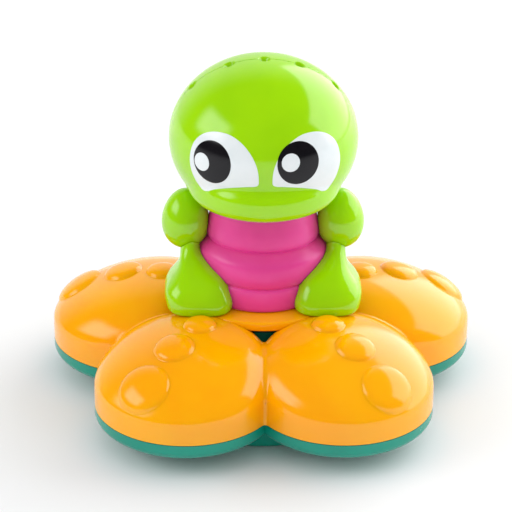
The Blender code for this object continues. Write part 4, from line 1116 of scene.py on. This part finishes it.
@dataclass
class Limbs:
    """Green arms and legs, one of each modelled and the other mirrored."""

    torso: Torso
    arm_centre: Point = (0.0324, 0.0, 0.0786)
    arm_half: Point = (0.0100, 0.0108, 0.0130)
    egg: float = 0.13
    # Height, x, y, half width and half depth of each section of a leg, from the deck up
    leg: tuple[tuple[float, ...], ...] = (
        (0.0463, 0.0264, -0.0135, 0.0126, 0.0145),
        (0.0465, 0.0264, -0.0135, 0.0133, 0.0152),
        (0.0470, 0.0264, -0.0135, 0.0138, 0.0157),
        (0.0480, 0.0265, -0.0134, 0.0141, 0.0160),
        (0.0500, 0.0266, -0.0132, 0.0144, 0.0161),
        (0.0522, 0.0269, -0.0129, 0.0143, 0.0158),
        (0.0545, 0.0271, -0.0125, 0.0137, 0.0152),
        (0.0572, 0.0268, -0.0119, 0.0124, 0.0142),
        (0.0600, 0.0265, -0.0110, 0.0105, 0.0126),
        (0.0620, 0.0272, -0.0099, 0.0085, 0.0110),
        (0.0637, 0.0283, -0.0085, 0.0067, 0.0094),
        (0.0655, 0.0295, -0.0067, 0.0052, 0.0078),
        (0.0675, 0.0304, -0.0052, 0.0042, 0.0067),
        (0.0705, 0.0306, -0.0040, 0.0041, 0.0060),
        (0.0760, 0.0306, -0.0036, 0.0041, 0.0058),
    )
    # The foot's outline is fuller than an oval: the oval's power, and where it is an oval again
    fullness: float = 3.2
    oval_from: tuple[float, float] = (0.0570, 0.0680)

    def full(self, piece: Piece) -> Piece:
        """Fill the corners of a lofted leg's lower sections."""
        rows = places(piece)
        table = np.array(self.leg)
        x, y, half_x, half_y = (np.interp(rows[:, 2], table[:, 0], table[:, i]) for i in range(1, 5))
        angle = np.arctan2((rows[:, 1] - y) / half_y, (rows[:, 0] - x) / half_x)
        climb = (rows[:, 2] - self.oval_from[0]) / (self.oval_from[1] - self.oval_from[0])
        power = self.fullness + (2.0 - self.fullness) * np.clip(climb, 0.0, 1.0)
        grown = (np.abs(np.cos(angle)) ** power + np.abs(np.sin(angle)) ** power) ** (-1.0 / power)
        rows[:, 0] = x + (rows[:, 0] - x) * grown
        rows[:, 1] = y + (rows[:, 1] - y) * grown
        move_points(piece, rows)
        return piece

    def arm_form(self, name: str, extra: float) -> Piece:
        """Egg-shaped arm, fuller at the hand."""
        made = oval(name, (0.0, 0.0, 0.0), (1.0, 1.0, 1.0), 96, 64)
        unit = places(made)
        swell = 1.0 - self.egg * unit[:, 2]
        unit[:, 0] *= swell
        unit[:, 1] *= swell
        half = np.array(self.arm_half) + extra
        move_points(made, unit * half + np.array(self.arm_centre))
        return made

    def trimmed(self, piece: Piece) -> Piece:
        """Cut a limb back from the body, the head and the back shell."""
        return carve(
            piece,
            self.torso.room("room", GAP),
            self.torso.head_room("room"),
            self.torso.shell_room("room"),
        )

    def mirrored(self, piece: Piece, name: str) -> Piece:
        """Copy a right limb to the left side, its faces turned out again."""
        made = stand(copy_of(piece, name), Matrix.Scale(-1.0, 4, (1.0, 0.0, 0.0)))
        tidy_mesh(made, MERGE / 10.0)
        return made

    def build(self) -> None:
        """Make both arms and both legs and dress them."""
        arm = self.trimmed(self.arm_form("right_arm", 0.0))
        leg = self.full(loft("right_leg", smooth_run(self.leg, 3), 96))
        leg = carve(self.trimmed(leg), self.arm_form("room", GAP))
        dress(self.mirrored(arm, "left_arm"), GREEN, ["arm_left"])
        dress(self.mirrored(leg, "left_leg"), GREEN, ["leg_left"])
        dress(arm, GREEN, ["arm_right"])
        dress(leg, GREEN, ["leg_right"])


@dataclass
class Head:
    """Green head in two shells, with a muzzle, five spray holes and printed eyes."""

    # Half width, half depth, height over the middle and depth below it
    muzzle_half: tuple[float, float, float, float] = (0.0316, 0.0335, 0.0112, 0.0092)
    muzzle_power: float = 3.0
    # Point inside both forms that the skin is measured from
    heart: Point = (0.0, -0.0040, 0.1045)
    crease: float = 0.0016
    wall: float = 0.0020
    seam: float = 0.00015
    seam_edge: float = 0.00018
    nozzles: tuple[float, ...] = (0.0, 21.0, -21.0, 48.0, -48.0)
    # Depth below the skin and radius of a spray hole
    mouth: tuple[tuple[float, float], ...] = (
        (-0.0045, 0.00140), (-0.0020, 0.00142), (-0.0014, 0.00170), (-0.0009, 0.00205),
        (-0.0004, 0.00235), (0.0, 0.00275), (0.0003, 0.0034),
    )
    # Outline of the eye on the right, x and z in the frontal plane
    eye: tuple[tuple[float, float], ...] = (
        (0.00275, 0.1128), (0.0032, 0.1172), (0.0047, 0.1214), (0.0072, 0.1252), (0.0105, 0.1282),
        (0.0149, 0.1301), (0.0204, 0.1300), (0.0251, 0.1279), (0.0285, 0.1240), (0.0301, 0.1190),
        (0.0302, 0.1141), (0.0290, 0.1095), (0.0270, 0.1058), (0.0251, 0.1040), (0.0230, 0.1044),
        (0.0202, 0.1061), (0.0140, 0.1083), (0.0079, 0.1096), (0.0045, 0.1100), (0.0030, 0.1108),
    )
    pupils: dict[Side, tuple[float, float]] = field(
        default_factory=lambda: {Side.LEFT: (-0.0218, 0.1180), Side.RIGHT: (0.0133, 0.1194)}
    )
    glints: dict[Side, tuple[float, float]] = field(
        default_factory=lambda: {Side.LEFT: (-0.0254, 0.1172), Side.RIGHT: (0.0100, 0.1201)}
    )
    pupil_radius: float = 0.0089
    glint_radius: float = 0.0038
    film: float = 0.00012
    # Plane inside the head that prints start from, their depth below the skin, longest slide out
    print_y: float = -0.001
    print_depth: float = 0.012
    slide: float = 0.08

    def reach(self, ways: np.ndarray, centre: Point, half: Point) -> np.ndarray:
        """Distance from the heart to an oval's skin, one for each unit way."""
        scaled = ways / np.array(half)
        offset = (np.array(self.heart) - np.array(centre)) / np.array(half)
        a = (scaled**2).sum(1)
        b = scaled @ offset
        c = offset @ offset - 1.0
        return (-b + np.sqrt(b * b - a * c)) / a

    def muzzle(self, ways: np.ndarray) -> np.ndarray:
        """Distance from the heart to the muzzle's skin, one for each unit way."""
        half_x, half_y, up, down = self.muzzle_half
        low, high = np.zeros(len(ways)), np.full(len(ways), 2.0 * half_y)
        for _ in range(26):
            middle = (low + high) / 2.0
            at = np.array(self.heart) + ways * middle[:, None] - np.array(MUZZLE_MIDDLE)
            plan = np.hypot(at[:, 0] / half_x, at[:, 1] / half_y)
            level = np.abs(at[:, 2]) / np.where(at[:, 2] > 0.0, up, down)
            outside = plan**self.muzzle_power + level**self.muzzle_power > 1.0
            high = np.where(outside, middle, high)
            low = np.where(outside, low, middle)
        return high

    def skin(self, ways: np.ndarray) -> np.ndarray:
        """Distance from the heart to the head's skin, the muzzle run in with a soft crease."""
        ball = self.reach(ways, HEAD_MIDDLE, HEAD_HALF)
        muzzle = self.muzzle(ways)
        share = np.clip(0.5 + 0.5 * (ball - muzzle) / self.crease, 0.0, 1.0)
        return muzzle * (1.0 - share) + ball * share + self.crease * share * (1.0 - share)

    def laid(self, points: np.ndarray, way: np.ndarray, lift: np.ndarray) -> np.ndarray:
        """Slide points along a way onto the skin, each lifted off it by its own amount.

        Args:
            points: rows that start inside the head.
            way: unit way that they slide along, outwards.
            lift: height over the skin for each row.

        Returns:
            Rows on the skin.
        """
        low = np.zeros(len(points))
        high = np.full(len(points), self.slide)
        for _ in range(40):
            middle = (low + high) / 2.0
            rows = points + way * middle[:, None] - np.array(self.heart)
            far = np.linalg.norm(rows, axis=1)
            outside = far > self.skin(rows / far[:, None])
            high = np.where(outside, middle, high)
            low = np.where(outside, low, middle)
        return points + way * (high + lift)[:, None]

    def half_shell(self, name: str, front: bool) -> Piece:
        """One half of the head's shell, its seam edge eased.

        Args:
            name: name of the piece.
            front: true for the half with the face.

        Returns:
            The new piece, without its spray holes.
        """
        made = start(name, Stock.BALL, segments=192, ring_count=150, radius=1.0)
        ways = places(made)
        ways /= np.linalg.norm(ways, axis=1)[:, None]
        move_points(made, np.array(self.heart) + ways * self.skin(ways)[:, None])
        plane_y = -self.seam if front else self.seam
        with editing(made):
            bpy.ops.mesh.select_all(action="SELECT")
            bpy.ops.mesh.bisect(
                plane_co=(0.0, plane_y, 0.0),
                plane_no=(0.0, 1.0, 0.0),
                clear_outer=front,
                clear_inner=not front,
            )
        finish_step(made, "SOLIDIFY", thickness=self.wall, offset=-1.0, use_rim=True)

        def on_seam(place: Vector, normal: Vector) -> bool:
            """Tell whether an edge lies on the seam's outer edge."""
            if abs(place.y - plane_y) > MERGE:
                return False
            offset = np.array(place) - np.array(self.heart)
            far = float(np.linalg.norm(offset))
            return far > float(self.skin((offset / far)[None, :])[0]) - self.wall / 2.0

        with editing(made):
            pick(made, "EDGE", on_seam)
            bpy.ops.mesh.bevel(offset=self.seam_edge, segments=2)
        return made

    def spray_tools(self) -> Piece:
        """The five flared holes as one tool."""
        tools = []
        profile = smooth_run([(radius, depth) for depth, radius in self.mouth], 3)
        for degrees in self.nozzles:
            angle = math.radians(degrees)
            point = Vector(
                (
                    HEAD_HALF[0] * math.sin(angle),
                    0.0,
                    HEAD_MIDDLE[2] + HEAD_HALF[2] * math.cos(angle),
                )
            )
            axis = (point - Vector(HEAD_MIDDLE)).normalized()
            turn = axis.to_track_quat("Z", "Y").to_matrix().to_4x4()
            tools.append(stand(lathe("spray", profile, 40), Matrix.Translation(point) @ turn))
        return gather("spray", tools)

    def disc(self, name: str, outline: np.ndarray, way: np.ndarray, layer: int) -> Piece:
        """Printed film with a given outline, laid on the skin.

        Args:
            name: name of the piece.
            outline: rows of places round its edge, inside the head.
            way: unit way from there to the skin.
            layer: 1 for the first print, 2 for one over it, and so on.

        Returns:
            The new piece.
        """
        count = len(outline)
        rings = ((1.0, -4.0), (1.0, 0.4), (0.992, 0.9), (0.98, 1.0))
        rings += tuple((share, 1.0) for share in (0.93, 0.85, 0.75, 0.62, 0.48, 0.33, 0.18, 0.06))
        rows = np.array([[index * MM, 0.0, 0.0, 1.0, 1.0] for index in range(len(rings))])
        made = loft(name, rows, count)
        at = places(made)
        turn = np.round((np.arctan2(at[:, 1], at[:, 0]) % (2.0 * math.pi)) / (2.0 * math.pi) * count)
        ring = np.round(at[:, 2] / MM).astype(int)
        share = np.array([rings[index][0] for index in ring])
        height = np.array([rings[index][1] for index in ring])
        middle = outline.mean(0)
        points = middle + (outline[turn.astype(int) % count] - middle) * share[:, None]
        base = self.film * (layer - 1)
        lift = np.where(height < 0.0, height * self.film, base + height * self.film)
        move_points(made, self.laid(points, way, lift))
        tidy_mesh(made, MERGE / 10.0)
        return made

    def eye_white(self, side: Side) -> Piece:
        """White of one eye."""
        flat = smooth_run(self.eye, 5, closed=True)
        depth = np.full(len(flat), self.print_y)
        outline = np.column_stack([side.value * flat[:, 0], depth, flat[:, 1]])
        name = side.name.lower() + "_eye_white"
        return self.disc(name, outline, np.array([0.0, -1.0, 0.0]), 1)

    def round_print(self, name: str, at: tuple[float, float], radius: float, layer: int) -> Piece:
        """Round print centred on a place in the frontal plane, square to the skin there."""
        point = np.array([at[0], self.print_y, at[1]])
        skin_point = self.laid(point[None, :], np.array([0.0, -1.0, 0.0]), np.zeros(1))[0]
        normal = (skin_point - np.array(HEAD_MIDDLE)) / np.array(HEAD_HALF) ** 2
        normal /= np.linalg.norm(normal)
        beside = np.cross(normal, np.array([0.0, 0.0, 1.0]))
        beside /= np.linalg.norm(beside)
        up = np.cross(beside, normal)
        angles = np.linspace(0.0, 2.0 * math.pi, 96, endpoint=False)
        foot = skin_point - normal * self.print_depth
        outline = (
            foot
            + radius * np.cos(angles)[:, None] * beside
            + radius * np.sin(angles)[:, None] * up
        )
        return self.disc(name, outline, normal, layer)

    def build(self) -> None:
        """Make both shells and the eyes and dress them."""
        tool = self.spray_tools()
        for name, front in (("head_face_shell", True), ("head_back_shell", False)):
            node = "head_front" if front else "head_rear"
            made = carve(self.half_shell(name, front), tool, keep=True, solver="MANIFOLD")
            dress(made, GREEN, [node], angle=40.0)
        bpy.data.objects.remove(tool)
        for side in Side:
            label = side.name.lower()
            white = self.eye_white(side)
            dress(white, WHITE_INK, ["eye_white_" + label])
            pupil = self.round_print(label + "_pupil", self.pupils[side], self.pupil_radius, 2)
            dress(pupil, BLACK_INK, ["pupil_" + label])
            glint = self.round_print(label + "_glint", self.glints[side], self.glint_radius, 3)
            dress(glint, WHITE_INK, ["glint_" + label])


@dataclass
class Underside:
    """What shows under the hull: battery door, intake grille and power button."""

    door_half_x: float = 0.0285
    ear_radius: float = 0.0036
    ear_height: float = 0.0034
    door_height: float = 0.0020
    rounding: float = 0.0005
    fine_edge: float = 0.0002
    # Screw seats in the ears: radius and height of the sink, radius of the way through
    sink: tuple[float, float] = (0.0027, 0.0024)
    screw_way: float = 0.0014
    grip_count: int = 7
    grip_pitch: float = 0.0022
    grip_depth: float = 0.0005
    # Where the grooves start and end, measured from the door's rear edge
    grip_run: tuple[float, float] = (0.0100, 0.0030)
    slot: float = 0.0013
    slots: int = 5
    grille_hole: float = 0.0070
    # Button: radius and top of its cap, heights of its flange, radius of its stem and its dish
    cap: tuple[float, float] = (0.0060, 0.0028)
    flange_z: tuple[float, float] = (0.0025, 0.0034)
    stem: float = 0.0015
    dish: float = 0.0108
    dish_drop: float = 0.0102

    def door(self) -> None:
        """Battery door with eased edges and finger grooves."""
        low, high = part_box("battery_door")
        made = block(
            "cell_door",
            (-self.door_half_x, low.y, low.z),
            (self.door_half_x, high.y, low.z + self.door_height),
            self.rounding,
        )
        middle_y = (low.y + high.y) / 2.0
        ear_x = high.x - self.ear_radius
        top = low.z + self.ear_height
        spots = [(side * ear_x, middle_y) for side in PAIR]
        carve(made, *[rod("ear", self.ear_radius, low.z, top, at, 40) for at in spots], how=Cut.WITH)
        sinks = [rod("sink", self.sink[0], -FAR, self.sink[1], at, 32) for at in spots]
        ways = [rod("way", self.screw_way, -FAR, FAR, at, 24) for at in spots]
        grips = []
        for index in range(self.grip_count):
            x = (index - (self.grip_count - 1) / 2.0) * self.grip_pitch
            grips.append(
                block(
                    "grip",
                    (x - self.grip_pitch / 4.0, high.y - self.grip_run[0], -FAR),
                    (x + self.grip_pitch / 4.0, high.y - self.grip_run[1], low.z + self.grip_depth),
                    self.grip_pitch / 5.0,
                )
            )
        carve(made, *sinks, *ways, *grips)
        sharp = math.radians(60.0)
        finish_step(
            made, "BEVEL", width=self.fine_edge, segments=2, limit_method="ANGLE", angle_limit=sharp
        )
        dress(made, TEAL, ["battery_door"], "door")

    def grille(self) -> None:
        """Round intake grille with rounded slots."""
        low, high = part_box("intake_grille")
        middle = (0.0, (low.y + high.y) / 2.0)
        made = rod("water_intake", high.x, low.z, high.z, middle, 96, self.fine_edge)
        slots = []
        for index in range(self.slots):
            x = (index - (self.slots - 1) / 2.0) * 2.0 * self.slot
            reach = math.sqrt(self.grille_hole**2 - x * x)
            slots.append(
                block(
                    "slot",
                    (x - self.slot / 2.0, middle[1] - reach, -FAR),
                    (x + self.slot / 2.0, middle[1] + reach, FAR),
                    self.slot * 0.49,
                    6,
                )
            )
        carve(made, *slots)
        dress(made, TEAL, ["intake_grille"])

    def button(self) -> None:
        """Power button with a rounded edge and a finger dish."""
        low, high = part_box("power_button")
        at = ((low.x + high.x) / 2.0, (low.y + high.y) / 2.0)
        flange = (high.x - low.x) / 2.0
        radius, top = self.cap
        made = rod("push_button", radius, low.z, top, at, 64, self.rounding)
        collar = rod("flange", flange, *self.flange_z, at, 64)
        carve(made, collar, rod("stem", self.stem, top, high.z, at, 32), how=Cut.WITH)
        carve(made, oval("dish", (*at, low.z - self.dish_drop), (self.dish,) * 3, 96, 64))
        dress(made, ORANGE, ["power_button"], "button")

    def build(self) -> None:
        """Make the three and dress them."""
        self.door()
        self.grille()
        self.button()


@dataclass
class Screws:
    """Pan-head screws with a cross recess, one shaped and the rest copied."""

    groups: tuple[tuple[str, int, str], ...] = (
        ("hull_screw_", 5, "root"),
        ("deck_screw_", 3, "root"),
        ("turtle_screw_", 3, "root"),
        ("neck_screw_", 2, "root"),
        ("door_screw_", 2, "door"),
    )
    shank: float = 0.0011
    head: float = 0.0024
    head_height: float = 0.0016
    # Radius and height of the rounded head, from its crown up
    crown: tuple[tuple[float, float], ...] = (
        (0.0010, 0.0), (0.0018, 0.00012), (0.0022, 0.0004), (0.0024, 0.0009),
    )
    # Half length, width and share of the head's height of the cross recess
    cross: float = 0.0015
    cross_width: float = 0.00045
    cross_depth: float = 0.55
    pitch: float = 0.0008
    thread_root: float = 0.78

    def screw(self, name: str, length: float) -> Piece:
        """Screw that points up, its head's underside at zero height."""
        profile = [*self.crown, (self.head, self.head_height), (self.shank, self.head_height)]
        tip = length - self.shank
        for index in range(int((tip - self.head_height - self.pitch) / self.pitch)):
            z = self.head_height + (index + 0.75) * self.pitch
            profile += [(self.shank * self.thread_root, z), (self.shank, z + self.pitch / 2.0)]
        profile += [(self.shank * 0.8, tip), (0.0002, length)]
        made = lathe(name, profile, 24)
        top = self.head_height * self.cross_depth
        long, thin = self.cross, self.cross_width / 2.0
        bars = [block("bar", (-x, -y, -FAR), (x, y, top)) for x, y in ((long, thin), (thin, long))]
        return carve(made, *bars)

    def build(self) -> None:
        """Make every screw where its node is and dress it."""
        for group, count, body in self.groups:
            low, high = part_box(group + "1")
            first = self.screw(group + "model", high.z - low.z)
            for index in range(count):
                node = group + str(index + 1)
                low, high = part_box(node)
                place = Matrix.Translation(((low.x + high.x) / 2.0, (low.y + high.y) / 2.0, low.z))
                made = stand(copy_of(first, "plated_" + node), place)
                dress(made, STEEL, [node], body)
            bpy.data.objects.remove(first)


@dataclass
class Works:
    """What lies inside: nodes that keep their own shape and get a finish."""

    def build(self) -> None:
        """Finish the nodes that stay."""
        repaint(TEAL, "well_tray")
        repaint(NATURAL, "pump_casing", "impeller", "riser_tube", "spray_manifold")
        repaint(CHARCOAL, "motor_end_cap", "tact_switch")
        repaint(RUBBER, "hull_gasket", "inner_gasket", "door_gasket", "shaft_seal")
        repaint(LAMINATE, "circuit_board")
        repaint(STEEL, "motor_shaft", "motor_can")
        for index in range(1, 4):
            repaint(STEEL, f"contact_plate_{index}", f"contact_spring_{index}")
            side = Side.RIGHT if index % 2 else Side.LEFT
            repaint(SLEEVES[side], f"battery_{index}")


# The studio


@dataclass(frozen=True)
class Softbox:
    """Rectangular soft light that looks at the toy.

    Attributes:
        name: name of the light.
        azimuth: angle round the toy in degrees.
        elevation: angle over the floor in degrees.
        size: width and height.
        watts: power.
        soft: share of its width over which each edge fades.
    """

    name: str
    azimuth: float
    elevation: float
    size: tuple[float, float]
    watts: float
    soft: float


@dataclass
class Studio:
    """Camera, pale floor and soft light."""

    azimuth: float = -1.4
    elevation: float = 26.0
    roll: float = 0.5
    distance: float = 1.05
    target: Point = (0.0, 0.0, 0.0605)
    lens: float = 174.87
    sensor: float = 36.0
    shift: float = -0.0129
    boxes: tuple[Softbox, ...] = (
        Softbox("right_box", 119.0, 25.0, (2.30, 1.35), 23.0, 0.10),
        Softbox("left_box", -76.0, 30.0, (1.35, 0.85), 10.0, 0.30),
    )
    box_distance: float = 1.3
    # How much brighter a softbox is where a polished piece mirrors it
    sparkle: float = 2.6
    # Level of the room on the pieces, and in their mirror image: dim in front, bright behind
    world: float = 0.85
    backdrop: float = 0.90
    backdrop_from: tuple[float, float] = (0.35, 0.90)
    dark_side: float = 0.05
    floor_size: float = 6.0
    floor_colours: tuple[str, str] = ("#EDEEF0", "#FDFDFD")
    floor_roughness: float = 0.7
    floor_gloss: float = 0.2
    floor_back: tuple[float, float] = (0.24, 0.42)

    def way(self, azimuth: float, elevation: float) -> Vector:
        """Unit way from the toy to a place round it, angles in degrees."""
        a, e = math.radians(azimuth), math.radians(elevation)
        return Vector((math.sin(a) * math.cos(e), -math.cos(a) * math.cos(e), math.sin(e)))

    def camera(self) -> None:
        """Place the camera at the photograph's angle."""
        data = bpy.data.cameras.new("camera")
        made = bpy.data.objects.new("camera", data)
        bpy.context.scene.collection.objects.link(made)
        back = self.way(self.azimuth, self.elevation)
        made.location = Vector(self.target) + back * self.distance
        turn = Quaternion((0.0, 0.0, 1.0), math.radians(self.roll))
        made.rotation_euler = ((-back).to_track_quat("-Z", "Y") @ turn).to_euler()
        data.sensor_width = self.sensor
        data.lens = self.lens
        data.shift_x = self.shift
        bpy.context.scene.camera = made

    def softbox(self, box: Softbox) -> None:
        """Hang a softbox, out of the camera's sight."""
        data = bpy.data.lights.new(box.name, "AREA")
        data.shape = "RECTANGLE"
        data.size, data.size_y = box.size
        data.energy = box.watts
        self.feather(data, box.soft)
        made = bpy.data.objects.new(box.name, data)
        bpy.context.scene.collection.objects.link(made)
        back = self.way(box.azimuth, box.elevation)
        made.location = Vector(self.target) + back * self.box_distance
        made.rotation_euler = (-back).to_track_quat("-Z", "Y").to_euler()
        made.visible_camera = False

    def feather(self, data: bpy.types.Light, soft: float) -> None:
        """Let a light's cloth darken softly towards its edges."""
        data.use_nodes = True
        tree = data.node_tree
        cloth = add_node(tree, "NewGeometry").outputs["Parametric"]
        split = add_node(tree, "SeparateXYZ", None, {"Vector": cloth})
        shares = []
        for way in ("X", "Y"):
            fold = {"operation": "PINGPONG", 1: 0.5}
            ramp = add_node(tree, "Math", fold, {0: split.outputs[way]})
            fade = {"From Max": soft, "interpolation_type": "SMOOTHSTEP"}
            edge = add_node(tree, "MapRange", fade, {"Value": ramp.outputs[0]})
            shares.append(edge.outputs["Result"])
        times = {"operation": "MULTIPLY"}
        both = add_node(tree, "Math", times, {0: shares[0], 1: shares[1]})
        mirrored = add_node(tree, "LightPath").outputs["Is Glossy Ray"]
        boost = add_node(tree, "MapRange", {"To Min": 1.0, "To Max": self.sparkle}, {"Value": mirrored})
        level = add_node(tree, "Math", times, {0: both.outputs[0], 1: boost.outputs["Result"]})
        tree.links.new(level.outputs[0], tree.nodes["Emission"].inputs["Strength"])

    def floor(self) -> None:
        """Pale floor that fades to white behind the toy."""
        made = start("floor", Stock.DISC, vertices=64, radius=self.floor_size / 2.0, fill_type="NGON")
        material = bpy.data.materials.new("pale_floor")
        material.use_nodes = True
        tree = material.node_tree
        shader = tree.nodes["Principled BSDF"]
        place = add_node(tree, "TexCoord").outputs["Object"]
        split = add_node(tree, "SeparateXYZ", None, {"Vector": place})
        fade = add_node(
            tree,
            "MapRange",
            {
                "From Min": self.floor_back[0],
                "From Max": self.floor_back[1],
                "interpolation_type": "SMOOTHSTEP",
            },
            {"Value": split.outputs["Y"]},
        )
        mix = add_node(
            tree,
            "MixRGB",
            {"Color1": linear(self.floor_colours[0]), "Color2": linear(self.floor_colours[1])},
            {"Fac": fade.outputs["Result"]},
        )
        tree.links.new(mix.outputs["Color"], shader.inputs["Base Color"])
        shader.inputs["Roughness"].default_value = self.floor_roughness
        shader.inputs["Specular IOR Level"].default_value = self.floor_gloss
        made.data.materials.append(material)

    def sky(self) -> None:
        """White surroundings: polished pieces mirror a bright backdrop and a dim room."""
        world = bpy.data.worlds.new("white_room")
        world.use_nodes = True
        tree = world.node_tree
        shader = tree.nodes["Background"]
        shader.inputs["Color"].default_value = (1.0, 1.0, 1.0, 1.0)
        path = add_node(tree, "LightPath")
        seen = add_node(
            tree,
            "Math",
            {"operation": "MAXIMUM"},
            {0: path.outputs["Is Camera Ray"], 1: path.outputs["Is Transmission Ray"]},
        )
        way = add_node(tree, "TexCoord").outputs["Generated"]
        split = add_node(tree, "SeparateXYZ", None, {"Vector": way})
        mirrored = add_node(
            tree,
            "MapRange",
            {
                "From Min": self.backdrop_from[0],
                "From Max": self.backdrop_from[1],
                "To Min": self.dark_side,
                "To Max": self.backdrop,
                "interpolation_type": "SMOOTHSTEP",
            },
            {"Value": split.outputs["Y"]},
        )
        unseen = add_node(
            tree,
            "MapRange",
            {"To Min": self.world},
            {"Value": path.outputs["Is Glossy Ray"], "To Max": mirrored.outputs["Result"]},
        )
        level = add_node(
            tree,
            "MapRange",
            {"To Max": 1.0},
            {"Value": seen.outputs[0], "To Min": unseen.outputs["Result"]},
        )
        tree.links.new(level.outputs["Result"], shader.inputs["Strength"])
        bpy.context.scene.world = world

    def build(self) -> None:
        """Set up the whole studio."""
        bpy.context.scene.view_settings.view_transform = "Standard"
        self.camera()
        self.floor()
        self.sky()
        for box in self.boxes:
            self.softbox(box)


def main() -> None:
    """Build the toy's pieces in order, then the studio."""
    logging.basicConfig(level=logging.INFO, format="%(name)s: %(message)s")
    torso = Torso()
    for assembly in (
        StarFloat(), Deck(), Hull(), torso, Limbs(torso), Head(), Underside(), Screws(), Works(), Studio()
    ):
        assembly.build()
        log.info("%s done", type(assembly).__name__)
    bpy.context.view_layer.update()


if __name__ == "__main__":
    main()
